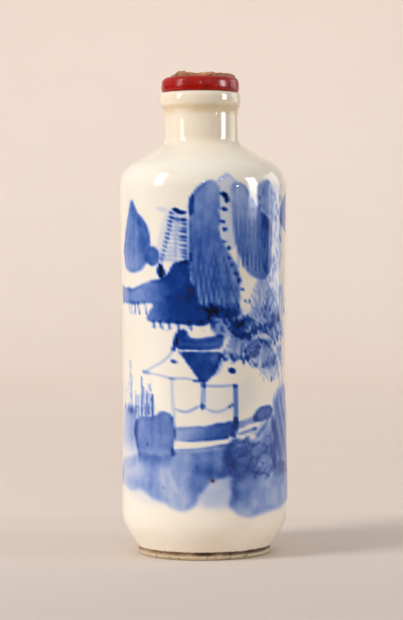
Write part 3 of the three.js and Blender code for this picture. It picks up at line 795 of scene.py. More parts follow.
def paint_right_rocks(sheet):
    """The dark rocks at the right, scumbled with loose strokes."""
    near = [(4.0, 19.2), (5.2, 20.2), (7.2, 20.3), (8.8, 20.0), (9.9, 18.8), (10.1, 16.6), (9.0, 14.8),
            (7.6, 13.8), (6.3, 13.2), (5.2, 14.0), (4.0, 14.4), (2.7, 14.2), (3.2, 15.8), (3.4, 17.6)]
    sheet.lift(near, 0.75, edge=0.5)
    sheet.wash(near, 0.84, edge=0.5, blotch=0.3, shade=lambda u, z: ramp(5.0, 1.0, 9.5, 0.72)(u))
    far = [(9.0, 20.4), (10.2, 22.0), (11.6, 23.0), (13.8, 23.4), (14.6, 20.4), (14.2, 15.4), (12.0, 13.8),
           (9.2, 14.0), (8.8, 17.4)]
    sheet.lift(far, 0.7, edge=0.8)
    sheet.wash(far, 0.48, edge=0.9, blotch=0.3)
    for centre, size in (((9.6, 18.2), 1.6), ((11.3, 16.9), 1.3), ((8.9, 20.2), 1.2), ((12.0, 19.6), 1.1)):
        loop = [(centre[0] + size * math.cos(a), centre[1] + 0.8 * size * math.sin(a))
                for a in np.linspace(0.4, 5.2, 7)]
        sheet.line(loop, 0.2, 0.34)
    for i in range(54):
        u = sheet.chance.uniform(4.6, 13.4)
        z = sheet.chance.uniform(13.8, 20.6)
        turn = math.radians(sheet.chance.uniform(25, 75))
        reach = sheet.chance.uniform(0.5, 1.2)
        du, dz = reach * math.cos(turn), reach * math.sin(turn)
        tone = sheet.chance.uniform(0.2, 0.5) if i % 3 else -sheet.chance.uniform(0.1, 0.25)
        sheet.line([(u - du, z - dz), (u, z - 0.15), (u + du, z + dz)], tone, 0.26, (0.3, 0.6))
    sheet.line([(9.4, 20.4), (10.4, 21.4), (11.4, 22.2), (12.2, 23.4)], 0.4, 0.4)
    sheet.dot((9.0, 21.9), 0.5, (0.8, 0.5), tilt=15)
    sheet.line([(8.2, 15.0), (9.6, 14.4), (11.2, 14.4), (12.6, 13.6)], 0.3, 0.45)
    sheet.wash([(14.6, 27.4), (16.6, 28.4), (18.4, 28.8), (20.4, 26.0), (21.0, 20.0), (20.6, 14.6),
                (16.8, 13.8), (13.6, 14.2), (13.6, 19.0), (13.8, 23.0)], 0.42, edge=0.8, streak=0.2)
    for i in range(15):
        top = 28.2 - 0.2 * i + sheet.chance.uniform(-1.5, 1.0)
        u = 12.9 + 0.5 * i
        sheet.line([(u + 0.8, top), (u + 0.2, 21.0), (u - 0.2, 15.4 + sheet.chance.uniform(-0.5, 1.5))],
                   0.42, 0.28, (0.4, 0.6))


def paint_reeds(sheet):
    """Reeds of dotted upright strokes, thicker at the water."""
    for u, low, high, tone in ((-17.6, 24.4, 28.4, 0.2), (-16.4, 24.6, 29.4, 0.22), (-15.4, 24.4, 33.0, 0.42),
                               (-14.7, 24.3, 30.6, 0.34), (-13.6, 24.2, 28.0, 0.3), (-12.9, 24.2, 27.4, 0.36),
                               (-11.9, 24.3, 30.4, 0.4), (-11.3, 24.2, 28.8, 0.36), (-10.7, 24.4, 28.2, 0.42),
                               (-9.9, 24.2, 29.4, 0.5), (-9.3, 24.4, 27.6, 0.62)):
        z = high
        while z > low:
            u += sheet.chance.uniform(-0.09, 0.09)
            strength = 1.25 * tone * sheet.chance.uniform(0.7, 1.3)
            sheet.line([(u, z), (u + sheet.chance.uniform(-0.12, 0.12), z - 0.55)], strength, 0.36)
            z -= sheet.chance.uniform(0.62, 0.88)
    sheet.wash([(-16.5, 25.2), (-14.0, 26.2), (-11.6, 27.6), (-9.0, 26.6), (-8.8, 24.4), (-12.0, 23.8),
                (-16.6, 24.0)], 0.12, edge=0.6, blotch=0.3)
    for i in range(9):
        u = -16.0 + 0.85 * i
        sheet.line([(u, 25.6), (u + 0.05, 24.3)], 0.3, 0.4)


def paint_far_side(sheet):
    """The side away from the front: a low far shore, two sails, a leaning tree on a bank, and more water."""
    sheet.wash([(24.5, 50.6), (27.0, 52.4), (30.0, 54.6), (33.5, 55.2), (36.5, 53.2), (40.0, 51.6),
                (44.0, 52.4), (48.0, 54.2), (52.0, 53.4), (56.0, 51.0), (60.0, 50.2), (60.5, 48.6),
                (50.0, 48.4), (38.0, 48.6), (28.0, 48.4), (24.0, 49.0)], 0.3, edge=0.35, pool=0.12,
               blotch=0.2, streak=0.12)
    sheet.wash([(30.0, 52.6), (32.6, 55.8), (34.6, 58.2), (36.4, 57.6), (38.0, 54.6), (40.0, 51.8),
                (35.0, 50.0)], 0.34, edge=0.3, pool=0.15, streak=0.15)
    for u, z, size in ((42.0, 43.0, 1.0), (50.0, 44.6, 0.75)):
        sheet.wash([(u, z), (u + 0.3 * size, z + 5 * size), (u + 2.4 * size, z + 3.4 * size),
                    (u + 2.6 * size, z)], 0.3, edge=0.2, pool=0.3)
        sheet.line([(u, z - 0.3), (u + 0.2, z + 5.4 * size)], 0.7, 0.42)
        sheet.line([(u - 2.2 * size, z - 0.2), (u, z - 1.0 * size), (u + 3.6 * size, z - 0.9 * size),
                    (u + 5.0 * size, z)], 0.8, 0.6)
    for i in range(6):
        u = 28.0 + 5.0 * i
        sheet.line([(u, 40.6 - 0.5 * (i % 3)), (u + 3.4, 40.5 - 0.5 * (i % 3))], 0.22, 0.42)
    sheet.wash([(25.0, 26.6), (28.0, 29.6), (32.0, 31.0), (36.5, 29.8), (40.5, 27.0), (45.0, 25.2),
                (49.0, 23.8), (52.0, 22.6), (52.0, 20.4), (40.0, 19.4), (28.0, 19.0), (22.0, 20.6)], 0.66,
               edge=0.3, pool=0.15, blotch=0.25, streak=0.15, shade=lambda u,
               z: ramp(52.0, 0.6, 32.0, 1.15)(u))
    sheet.line([(30.5, 30.6), (31.4, 34.0), (33.4, 36.6), (34.0, 39.4)], 0.85, 0.8, (1.0, 0.5))
    sheet.line([(32.2, 35.2), (29.8, 37.4), (28.6, 39.6)], 0.75, 0.55)
    for centre, reach in (((28.4, 40.6), 3.6), ((34.2, 41.8), 4.0), ((31.4, 43.4), 3.6), ((37.0, 39.0), 3.0)):
        paint_fan(sheet, centre, reach, -200, 20, 17, tone=0.34, tips=0.4)
    sheet.wash([(20.0, 15.6), (26.0, 17.0), (34.0, 17.8), (44.0, 17.6), (54.0, 17.0), (62.0, 16.4),
                (68.6, 15.2), (68.6, 12.0), (64.0, 10.4), (58.0, 9.0), (52.0, 10.2), (47.0, 8.6),
                (41.0, 8.2), (36.0, 9.8), (30.0, 8.4), (25.0, 8.2), (20.4, 9.4)], 0.36, edge=0.35, pool=0.1,
               blotch=0.22, streak=0.2)
    sheet.wash([(57.6, 22.4), (60.0, 25.6), (63.4, 26.6), (66.4, 24.6), (67.6, 20.4), (65.0, 17.2),
                (59.0, 17.6)], 0.46, pool=0.3, blotch=0.15)
    for i in range(9):
        u = 55.0 + 1.25 * i
        sheet.line([(u, 29.6 + 1.5 * math.sin(i)), (u - 0.2, 24.6)], 0.36, 0.42)


def paint_specks(sheet):
    """Iron that burnt through the glaze as brown and black specks."""
    sheet.dot((1.4, 13.6), 0.35, 1.0, edge=0.3, iron=True)
    for u, z, size, tone in ((1.4, 13.6, 0.55, 1.0), (-10.5, 19.3, 0.5, 1.0), (-7.2, 12.3, 0.4, 0.6),
                             (-11.3, 7.0, 0.3, 0.5), (8.1, 17.0, 0.5, 0.9), (-4.7, 29.4, 0.24, 0.6),
                             (-9.5, 30.0, 0.3, 0.5), (-7.8, 27.2, 0.26, 0.4), (-4.1, 43.5, 0.75, 0.5),
                             (4.6, 26.2, 0.3, 0.7), (-1.5, 30.0, 0.24, 0.3), (36.0, 34.0, 0.5, 0.8),
                             (47.0, 37.0, 0.4, 0.7), (58.0, 31.0, 0.4, 0.6), (30.0, 12.0, 0.5, 0.8)):
        sheet.dot((u, z), tone, size, iron=True)
    sheet.dot((-2.1, 44.7), 0.9, (0.5, 0.95), iron=True)


PAINTING = (paint_far_side, paint_far_hill, paint_pagoda, paint_mountain, paint_stream_stones,
            paint_right_ridge, paint_bank, paint_scrub, paint_pines, paint_pavilion, paint_terrace,
            paint_left_rock, paint_water, paint_right_rocks, paint_reeds, paint_specks)


def paint_landscape(obj, radius):
    """Paints the sheet, wraps it round the wall and leaves it on the mesh as two attributes."""
    sheet = Sheet(radius / MM, low=5.0, high=66.5, seed=11)
    for motif in PAINTING:
        motif(sheet)
    sheet.soften(size=0.07)
    sheet.settle(most=1.7)
    spots = places(obj) / MM
    outside = np.hypot(spots[:, 0], spots[:, 1]) > 0.6 * sheet.radius
    u = sheet.radius * np.arctan2(spots[:, 0], -spots[:, 1])
    for name, layer in (("cobalt", sheet.cobalt), ("iron", sheet.iron)):
        amount = np.where(outside, sheet.read(layer, u, spots[:, 2]), 0)
        attribute = obj.data.attributes.new(name, "FLOAT", "POINT")
        attribute.data.foreach_set("value", amount.astype(np.float32))


# ---- Materials ----

def add(tree, kind, inputs=None, stops=None, **settings):
    """Adds a node with its settings, its values and its links. Stops fill a colour ramp."""
    node = tree.nodes.new(kind)
    for name, value in settings.items():
        setattr(node, name, value)
    for name, value in (inputs or {}).items():
        socket = node.inputs[name]
        if isinstance(value, bpy.types.NodeSocket):
            tree.links.new(value, socket)
        else:
            socket.default_value = value
    if stops:
        elements = node.color_ramp.elements
        while len(elements) < len(stops):
            elements.new(1.0)
        for element, (position, colour) in zip(elements, stops):
            element.position = position
            element.color = colour
    return node


def new_material(name):
    """A node material with its own Principled shader, which is given back with the tree."""
    material = bpy.data.materials.new(name)
    material.use_nodes = True
    tree = material.node_tree
    return material, tree, tree.nodes["Principled BSDF"]


def use_material(obj, material):
    """Gives a piece its only material."""
    obj.data.materials.clear()
    obj.data.materials.append(material)


def grey(value):
    """A grey as a shader's colour."""
    return (value, value, value, 1.0)


def glazed_porcelain(glaze):
    """Porcelain painted with cobalt and dipped in a clear glaze. The glaze gives sharp reflections over a
    warm white that clouds a little, and the cobalt lies under it, faintly speckled.
    The foot ring was wiped bare before firing, and it has taken up dirt. Just under the edge of the glaze the
    foot is darkened further with painted shade, and the heel is made brighter with painted light."""
    material, tree, shader = new_material("underglaze blue porcelain")
    coords = add(tree, "ShaderNodeTexCoord").outputs["Object"]
    height = add(tree, "ShaderNodeSeparateXYZ", {"Vector": coords}).outputs["Z"]

    heel_low, heel_high = 5 * MM, 11 * MM
    neck_low, neck_high = 65.5 * MM, 70 * MM
    hollow_foot, hollow_low = 73.2 * MM, 74.9 * MM
    hollow_high, hollow_top = 75.3 * MM, 76.4 * MM

    clouding = add(tree, "ShaderNodeTexNoise", {"Vector": coords, "Scale": 1 / (9 * MM), "Detail": 2.0})
    cloudy = add(tree, "ShaderNodeMapRange", {"Value": clouding.outputs["Fac"], "From Min": 0.35,
                                              "From Max": 0.7})
    white = add(tree, "ShaderNodeMix", {"Factor": cloudy.outputs["Result"], "A": glaze.glaze,
                                        "B": glaze.glaze_cloud}, data_type="RGBA")

    # Painted light: towards the heel the white is mixed into a brighter colour, for light bounced up from the
    # floor.
    heel = add(tree, "ShaderNodeMapRange", {"Value": height, "From Min": heel_high, "From Max": heel_low},
               interpolation_type="SMOOTHSTEP")
    white = add(tree, "ShaderNodeMix", {"Factor": heel.outputs["Result"], "A": white.outputs["Result"],
                                        "B": glaze.heel_painted_light}, data_type="RGBA")
    neck = add(tree, "ShaderNodeMapRange", {"Value": height, "From Min": neck_low, "From Max": neck_high},
               interpolation_type="SMOOTHSTEP")
    handled = add(tree, "ShaderNodeMix", {"Factor": neck.outputs["Result"], "A": white.outputs["Result"],
                                          "B": glaze.glaze_neck}, data_type="RGBA")

    # The stain is patchy: strongest in the hollow under the rolled lip, and faint on the neck and the heel.
    band = add(tree, "ShaderNodeMapRange", {"Value": height, "From Min": hollow_foot, "From Max": hollow_low},
               interpolation_type="SMOOTHSTEP")
    above = add(tree, "ShaderNodeMapRange",
                {"Value": height, "From Min": hollow_top, "From Max": hollow_high},
                interpolation_type="SMOOTHSTEP")
    patchy = add(tree, "ShaderNodeTexNoise", {"Vector": coords, "Scale": 1 / (3.5 * MM), "Detail": 3.0})
    patches = add(tree, "ShaderNodeMapRange", {"Value": patchy.outputs["Fac"], "From Min": 0.3,
                                               "From Max": 0.75, "To Min": 0.2, "To Max": 0.9})
    hollow = add(tree, "ShaderNodeMath", {0: band.outputs["Result"], 1: above.outputs["Result"]},
                 operation="MULTIPLY")
    thin = add(tree, "ShaderNodeMath", {0: neck.outputs["Result"], 1: 0.3}, operation="MULTIPLY")
    low = add(tree, "ShaderNodeMath", {0: heel.outputs["Result"], 1: 0.14}, operation="MULTIPLY")
    ends = add(tree, "ShaderNodeMath", {0: low.outputs["Value"], 1: thin.outputs["Value"]},
               operation="MAXIMUM")
    where = add(tree, "ShaderNodeMath", {0: hollow.outputs["Value"], 1: ends.outputs["Value"]},
                operation="MAXIMUM")
    stain = add(tree, "ShaderNodeMath", {0: where.outputs["Value"], 1: patches.outputs["Result"]},
                operation="MULTIPLY")
    stained = add(tree, "ShaderNodeMix", {"Factor": stain.outputs["Value"], "A": handled.outputs["Result"],
                                          "B": glaze.stain}, data_type="RGBA")

    # Cobalt gathers in soft specks, on a scale of 0.9 mm.
    cobalt = add(tree, "ShaderNodeAttribute", attribute_name="cobalt").outputs["Fac"]
    specks = add(tree, "ShaderNodeTexNoise", {"Vector": coords, "Scale": 1 / (0.9 * MM), "Detail": 2.0})
    gather = add(tree, "ShaderNodeMapRange", {"Value": specks.outputs["Fac"], "From Min": 0.3,
                                              "From Max": 0.7, "To Min": 0.94, "To Max": 1.06})
    amount = add(tree, "ShaderNodeMath", {0: cobalt, 1: gather.outputs["Result"]}, operation="MULTIPLY")
    scaled = add(tree, "ShaderNodeMath", {0: amount.outputs["Value"], 1: 1 / COBALT_FULL},
                 operation="MULTIPLY", use_clamp=True)
    blue = add(tree, "ShaderNodeValToRGB", {"Fac": scaled.outputs["Value"]}, stops=COBALT_STOPS)
    painted = add(tree, "ShaderNodeMix", {"Factor": blue.outputs["Alpha"], "A": stained.outputs["Result"],
                                          "B": blue.outputs["Color"]}, data_type="RGBA")
    iron = add(tree, "ShaderNodeAttribute", attribute_name="iron").outputs["Fac"]
    specked = add(tree, "ShaderNodeMix", {"Factor": iron, "A": painted.outputs["Result"], "B": glaze.iron},
                  data_type="RGBA", clamp_factor=True)

    # Bare foot: grit on a scale of 0.6 mm and finer, and brown dirt just below the edge of the glaze,
    # with painted shade there in the groove under the glaze.
    dirt_and_shade_low, dirt_and_shade_high = 0.58 * MM, 0.85 * MM
    glaze_low, glaze_high = 1.5 * MM, 1.65 * MM
    grit = add(tree, "ShaderNodeTexNoise", {"Vector": coords, "Scale": 1 / (0.6 * MM), "Detail": 4.0,
                                            "Roughness": 0.7})
    grime = add(tree, "ShaderNodeMapRange", {"Value": grit.outputs["Fac"], "From Min": 0.52, "From Max": 0.7,
                                             "To Max": 0.8})
    # Painted shade with the dirt: a dark band from 0.58 mm up to the glaze's edge, in the groove under the
    # glaze.
    edge = add(tree, "ShaderNodeMapRange", {"Value": height, "From Min": dirt_and_shade_low, "From Max": dirt_and_shade_high})
    caked_and_shaded = add(tree, "ShaderNodeMapRange", {"Value": patchy.outputs["Fac"], "From Min": 0.3,
                                             "From Max": 0.6, "To Min": 0.4, "To Max": 0.95})
    rim = add(tree, "ShaderNodeMath", {0: edge.outputs["Result"], 1: caked_and_shaded.outputs["Result"]},
              operation="MULTIPLY")
    dirt = add(tree, "ShaderNodeMath", {0: grime.outputs["Result"], 1: rim.outputs["Value"]},
               operation="MAXIMUM")
    rusty = add(tree, "ShaderNodeMapRange", {"Value": patchy.outputs["Fac"], "From Min": 0.62,
                                             "From Max": 0.42})
    soil_and_shade = add(tree, "ShaderNodeMix", {"Factor": rusty.outputs["Result"], "A": glaze.foot_dirt_and_shade,
                                       "B": glaze.foot_rust_and_shade}, data_type="RGBA")
    foot = add(tree, "ShaderNodeMix", {"Factor": dirt.outputs["Value"], "A": glaze.biscuit,
                                       "B": soil_and_shade.outputs["Result"]}, data_type="RGBA")
    wander = add(tree, "ShaderNodeMath", {0: grit.outputs["Fac"], 1: 0.3 * MM, 2: height},
                 operation="MULTIPLY_ADD")
    glazed = add(tree, "ShaderNodeMapRange", {"Value": wander.outputs["Value"], "From Min": glaze_low,
                                              "From Max": glaze_high})
    surface = add(tree, "ShaderNodeMix", {"Factor": glazed.outputs["Result"], "A": foot.outputs["Result"],
                                          "B": specked.outputs["Result"]}, data_type="RGBA")
    tree.links.new(surface.outputs["Result"], shader.inputs["Base Color"])

    gloss = add(tree, "ShaderNodeMapRange", {"Value": glazed.outputs["Result"], "To Min": 0.75,
                                             "To Max": glaze.roughness})
    tree.links.new(gloss.outputs["Result"], shader.inputs["Roughness"])
    shader.inputs["IOR"].default_value = 1.5

    ripple = add(tree, "ShaderNodeTexNoise", {"Vector": coords, "Scale": 1 / (2.4 * MM), "Detail": 1.0})
    relief = add(tree, "ShaderNodeMix", {"Factor": glazed.outputs["Result"], "A": grit.outputs["Fac"],
                                         "B": ripple.outputs["Fac"]}, data_type="FLOAT")
    bump = add(tree, "ShaderNodeBump", {"Height": relief.outputs["Result"], "Strength": 0.25,
                                        "Distance": 0.05 * MM})
    tree.links.new(bump.outputs["Normal"], shader.inputs["Normal"])
    return material


# How much cobalt gives the ramp's last colour, and the colours on the way there: clear, pale wash, deep
# blue and black.
COBALT_FULL = 1.4
COBALT_STOPS = [
    (0.0, linear("#C4CCE0")[:3] + (0.0,)),
    (0.14, linear("#B2BEDE")[:3] + (0.8,)),
    (0.29, linear("#8AA0D2")),
    (0.43, linear("#5B79BC")),
    (0.57, linear("#2E54A2")),
    (0.72, linear("#0C3688")),
    (0.86, linear("#052C74")),
    (1.0, linear("#060E2C")),
]


def worn_red_glass(stopper):
    """Opaque red glass, ground and long handled, with an uneven gloss, soft darker swirls and fine scuffs."""
    material, tree, shader = new_material("worn red glass")
    coords = add(tree, "ShaderNodeTexCoord").outputs["Object"]
    swirl = add(tree, "ShaderNodeTexNoise", {"Vector": coords, "Scale": 1 / (2.5 * MM), "Detail": 3.0,
                                             "Distortion": 0.8})
    swirls = add(tree, "ShaderNodeMapRange", {"Value": swirl.outputs["Fac"], "From Min": 0.38,
                                              "From Max": 0.72})
    red = add(tree, "ShaderNodeMix", {"Factor": swirls.outputs["Result"], "A": stopper.glass,
                                      "B": stopper.glass_dark}, data_type="RGBA")
    tree.links.new(red.outputs["Result"], shader.inputs["Base Color"])
    scuff = add(tree, "ShaderNodeTexNoise", {"Vector": coords, "Scale": 1 / (0.45 * MM), "Detail": 4.0,
                                             "Roughness": 0.65})
    worn = add(tree, "ShaderNodeMapRange", {"Value": scuff.outputs["Fac"], "From Min": 0.3, "From Max": 0.7,
                                            "To Min": 0.1, "To Max": 0.28})
    tree.links.new(worn.outputs["Result"], shader.inputs["Roughness"])
    shader.inputs["IOR"].default_value = 1.52
    shader.inputs["Specular IOR Level"].default_value = 0.3
    bump = add(tree, "ShaderNodeBump", {"Height": scuff.outputs["Fac"], "Strength": 0.25,
                                        "Distance": 0.03 * MM})
    tree.links.new(bump.outputs["Normal"], shader.inputs["Normal"])
    return material


def old_cork(stopper):
    """Cork darkened by age: matte, with small dark pores about half a millimetre apart."""
    material, tree, shader = new_material("old cork")
    coords = add(tree, "ShaderNodeTexCoord").outputs["Object"]
    pores = add(tree, "ShaderNodeTexVoronoi", {"Vector": coords, "Scale": 1 / (0.5 * MM)})
    dark = tuple(c * 0.35 for c in stopper.cork[:3]) + (1.0,)
    porous = add(tree, "ShaderNodeMapRange", {"Value": pores.outputs["Distance"], "From Min": 0.05,
                                              "From Max": 0.5})
    brown = add(tree, "ShaderNodeMix", {"Factor": porous.outputs["Result"], "A": dark, "B": stopper.cork},
                data_type="RGBA")
    tree.links.new(brown.outputs["Result"], shader.inputs["Base Color"])
    shader.inputs["Roughness"].default_value = 0.9
    bump = add(tree, "ShaderNodeBump", {"Height": porous.outputs["Result"], "Strength": 0.6,
                                        "Distance": 0.1 * MM})
    tree.links.new(bump.outputs["Normal"], shader.inputs["Normal"])
    return material


def broken_cement(stopper):
    """Resin cement, set and broken: orange-brown, dull and grainy, with dirty patches on a scale of 1.1 mm,
    and redder at the right."""
    material, tree, shader = new_material("broken resin cement")
    coords = add(tree, "ShaderNodeTexCoord").outputs["Object"]
    patches = add(tree, "ShaderNodeTexNoise", {"Vector": coords, "Scale": 1 / (1.1 * MM), "Detail": 4.0})
    dirt = add(tree, "ShaderNodeMapRange", {"Value": patches.outputs["Fac"], "From Min": 0.62,
                                            "From Max": 0.36})
    brown = add(tree, "ShaderNodeMix", {"Factor": dirt.outputs["Result"], "A": stopper.cement,
                                        "B": stopper.cement_dark}, data_type="RGBA")
    across = add(tree, "ShaderNodeSeparateXYZ", {"Vector": coords}).outputs["X"]
    stuck = add(tree, "ShaderNodeMapRange", {"Value": across, "From Min": 1.5 * MM, "From Max": 4.5 * MM,
                                             "To Max": 0.75})
    reddened = add(tree, "ShaderNodeMix", {"Factor": stuck.outputs["Result"], "A": brown.outputs["Result"],
                                           "B": stopper.cement_red}, data_type="RGBA")
    tree.links.new(reddened.outputs["Result"], shader.inputs["Base Color"])
    shader.inputs["Roughness"].default_value = 0.6
    grain = add(tree, "ShaderNodeTexNoise", {"Vector": coords, "Scale": 1 / (0.25 * MM), "Detail": 3.0})
    bump = add(tree, "ShaderNodeBump", {"Height": grain.outputs["Fac"], "Strength": 0.5,
                                        "Distance": 0.08 * MM})
    tree.links.new(bump.outputs["Normal"], shader.inputs["Normal"])
    return material


def studio_paper(stage):
    """Matte cartridge paper in one sweep, with no shine. Light and shade are painted into its tone by place:
    painted shade darker near the front edge, and painted light a little lighter behind the bottle and up the
    wall."""
    material, tree, shader = new_material("matte backdrop paper")
    coords = add(tree, "ShaderNodeTexCoord").outputs["Object"]
    clouds = add(tree, "ShaderNodeTexNoise", {"Vector": coords, "Scale": 1 / (30 * MM), "Detail": 2.0})
    mottle = add(tree, "ShaderNodeMapRange", {"Value": clouds.outputs["Fac"], "To Min": 0.97, "To Max": 1.0})
    split = add(tree, "ShaderNodeSeparateXYZ", {"Vector": coords})
    # Painted light and shade: these factors lighten the paper up the wall and behind the bottle, and darken
    # it towards the front.
    painted_light_rising = add(tree, "ShaderNodeMapRange", {"Value": split.outputs["Z"], "From Min": 0.0,
                                              "From Max": 160 * MM, "To Min": 1.0, "To Max": 1.1},
                 interpolation_type="SMOOTHSTEP")
    painted_shade_nearing = add(tree, "ShaderNodeMapRange", {"Value": split.outputs["Y"], "From Min": -60 * MM,
                                               "From Max": 15 * MM, "To Min": 0.84, "To Max": 0.98})
    behind = add(tree, "ShaderNodeMapRange", {"Value": split.outputs["Y"], "From Min": 38 * MM,
                                              "From Max": 50 * MM, "To Min": 1.0, "To Max": 1.05})
    painted_light_beyond = add(tree, "ShaderNodeMapRange", {"Value": split.outputs["Y"], "From Min": 60 * MM,
                                              "From Max": 340 * MM, "To Min": 1.0, "To Max": 1.08})
    amount = mottle.outputs["Result"]
    for factor in (painted_light_rising, painted_shade_nearing, behind, painted_light_beyond):
        amount = add(tree, "ShaderNodeMath", {0: amount, 1: factor.outputs["Result"]},
                     operation="MULTIPLY").outputs["Value"]
    tint = add(tree, "ShaderNodeMix", {"Factor": amount, "A": grey(0.0), "B": stage.paper},
               data_type="RGBA", clamp_factor=False)
    tree.links.new(tint.outputs["Result"], shader.inputs["Base Color"])
    shader.inputs["Roughness"].default_value = 0.9
    shader.inputs["Specular IOR Level"].default_value = 0.1
    return material


# ---- The pieces ----

def off_centre(height):
    """How far the turned shape strays to the right at a height: the wall a little, the lip to the left."""
    wall = smoothstep(2 * MM, 9 * MM, height) * smoothstep(68 * MM, 62 * MM, height)
    return 0.14 * MM * wall - 0.2 * MM * smoothstep(73 * MM, 76.5 * MM, height)


def set_askew(obj, tilt, start, end, pivot):
    """Tips what lies above a height to the right, so that the lip and the collar on it stay together, and
    moves the piece as far off the axis as the turned shape strays."""
    spots = places(obj)
    share = smoothstep(start, end, spots[:, 2])
    spots[:, 2] -= share * spots[:, 0] * math.tan(tilt)
    spots[:, 0] += share * (spots[:, 2] - pivot) * math.tan(tilt)
    spots[:, 0] += off_centre(spots[:, 2])
    put_places(obj, spots)


class SNUFF_OT_bottle(bpy.types.Operator):
    """Throws, glazes and paints the porcelain bottle"""
    bl_idname = "snuff.bottle"
    bl_label = "Porcelain bottle"

    def execute(self, context):
        size = context.scene.snuff_bottle
        draw_section(bottle_section(size))
        turn_section(((math.pi, size.front_columns), (math.pi, size.back_columns)))
        obj = finished("porcelain_bottle", angle=50)
        self.make_uneven(obj, size)
        lip_low, lip_high = size.height - 3.4 * MM, size.height - 0.4 * MM
        set_askew(obj, context.scene.snuff_stopper.collar_tilt, lip_low, lip_high, size.height)
        paint_landscape(obj, size.radius)
        use_material(obj, glazed_porcelain(context.scene.snuff_glaze))
        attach(obj, "root")
        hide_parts("bottle")
        return {"FINISHED"}

    def make_uneven(self, obj, size):
        """Lets the wall stray a little from round, but not the foot or the rim."""
        height = places(obj)[:, 2]
        share = smoothstep(2 * MM, 12 * MM, height) * smoothstep(size.height - 0.5 * MM,
                                                                 size.height - 6 * MM, height)
        group = obj.vertex_groups.new(name="wall")
        steps = 10
        for step in range(steps + 1):
            members = np.flatnonzero(np.round(share * steps) == step)
            group.add(members.tolist(), step / steps, "REPLACE")
        shake(obj, "thrown unevenness", 22 * MM, size.unevenness, "wall")
        obj.vertex_groups.remove(obj.vertex_groups["wall"])


def bottle_section(size):
    """The half section of the bottle: foot, heel, wall, shoulder, neck and lip, and back down inside."""
    body, foot, neck, lip, wall = size.radius, size.foot_radius, size.neck_radius, size.lip_radius, size.wall
    rim = size.height
    heel = foot + 0.2 * MM
    foot_inner = foot - 2.2 * MM
    rounding = 0.55 * MM
    recess = 1.2 * MM
    glaze_foot = 1.15 * MM
    glaze_step = 0.35 * MM
    heel_top = 8.5 * MM
    waist = 0.22 * MM
    shoulder_foot = rim - 16.1 * MM
    shoulder = 4.9 * MM
    slope = math.radians(30)
    neck_foot = rim - 7.6 * MM
    lip_foot = rim - 3.8 * MM
    band_foot = rim - 1.5 * MM
    lip_round = 0.8 * MM
    bore = 3.5 * MM
    bore_round = 0.4 * MM
    bore_flare = 0.8 * MM
    floor = 3.6 * MM
    floor_round = 3.9 * MM
    heel_out, heel_up, heel_bend = 1.9 * MM, 3.2 * MM, 3.6 * MM

    def slope_height(radius, depth):
        rise = (shoulder - depth) / math.cos(slope)
        return shoulder_foot + rise - (radius - body + shoulder) * math.tan(slope)

    corner = slope_height(neck, 0)
    fillet = neck_foot - corner
    fillet_foot = (neck + fillet * math.cos(slope), corner - fillet * math.sin(slope))
    middle = (heel_top + shoulder_foot) / 2
    half_bend = (band_foot - lip_foot) / 2
    outer_arc = arc((body - shoulder, shoulder_foot), shoulder, 0, 60, 18)
    inner_arc = arc((body - shoulder, shoulder_foot), shoulder - wall, 60, 0, 3)
    bore_foot = slope_height(bore, wall)
    flared = bore + bore_flare
    return [
        straight((0, recess), (foot_inner - rounding, recess), 3),
        bend((foot_inner - rounding, recess), (foot_inner, recess), (foot_inner, rounding), 2),
        bend((foot_inner, rounding), (foot_inner, 0), (foot_inner + rounding, 0), 2),
        straight((foot_inner + rounding, 0), (foot - rounding, 0), 2),
        bend((foot - rounding, 0), (foot, 0), (foot, rounding), 3),
        straight((foot, rounding), (heel - glaze_step, glaze_foot), 3),
        bend((heel - glaze_step, glaze_foot), (heel, glaze_foot), (heel, glaze_foot + glaze_step / 2), 2),
        ((heel, glaze_foot + glaze_step / 2), (heel + heel_out, glaze_foot + heel_up),
         (body, heel_top - heel_bend), (body, heel_top), 22),
        bend((body, heel_top), (body - 2 * waist, middle), (body, shoulder_foot), 216),
        outer_arc,
        straight(outer_arc[3], fillet_foot, 8),
        bend(fillet_foot, (neck, corner), (neck, neck_foot), 5),
        straight((neck, neck_foot), (neck, lip_foot), 4),
        ((neck, lip_foot), (neck, lip_foot + half_bend), (lip, band_foot - half_bend), (lip, band_foot), 6),
        straight((lip, band_foot), (lip, rim - lip_round), 2),
        bend((lip, rim - lip_round), (lip, rim), (lip - lip_round, rim), 4),
        straight((lip - lip_round, rim), (bore + bore_round, rim)),
        bend((bore + bore_round, rim), (bore, rim), (bore, rim - bore_round), 2),
        straight((bore, rim - bore_round), (bore, bore_foot + bore_flare)),
        bend((bore, bore_foot + bore_flare), (bore, bore_foot), (flared, slope_height(flared, wall)), 2),
        straight((flared, slope_height(flared, wall)), inner_arc[0]),
        inner_arc,
        straight(inner_arc[3], (body - wall, floor + floor_round)),
        bend((body - wall, floor + floor_round), (body - wall, floor), (body - wall - floor_round, floor), 3),
        straight((body - wall - floor_round, floor), (0, floor)),
    ]


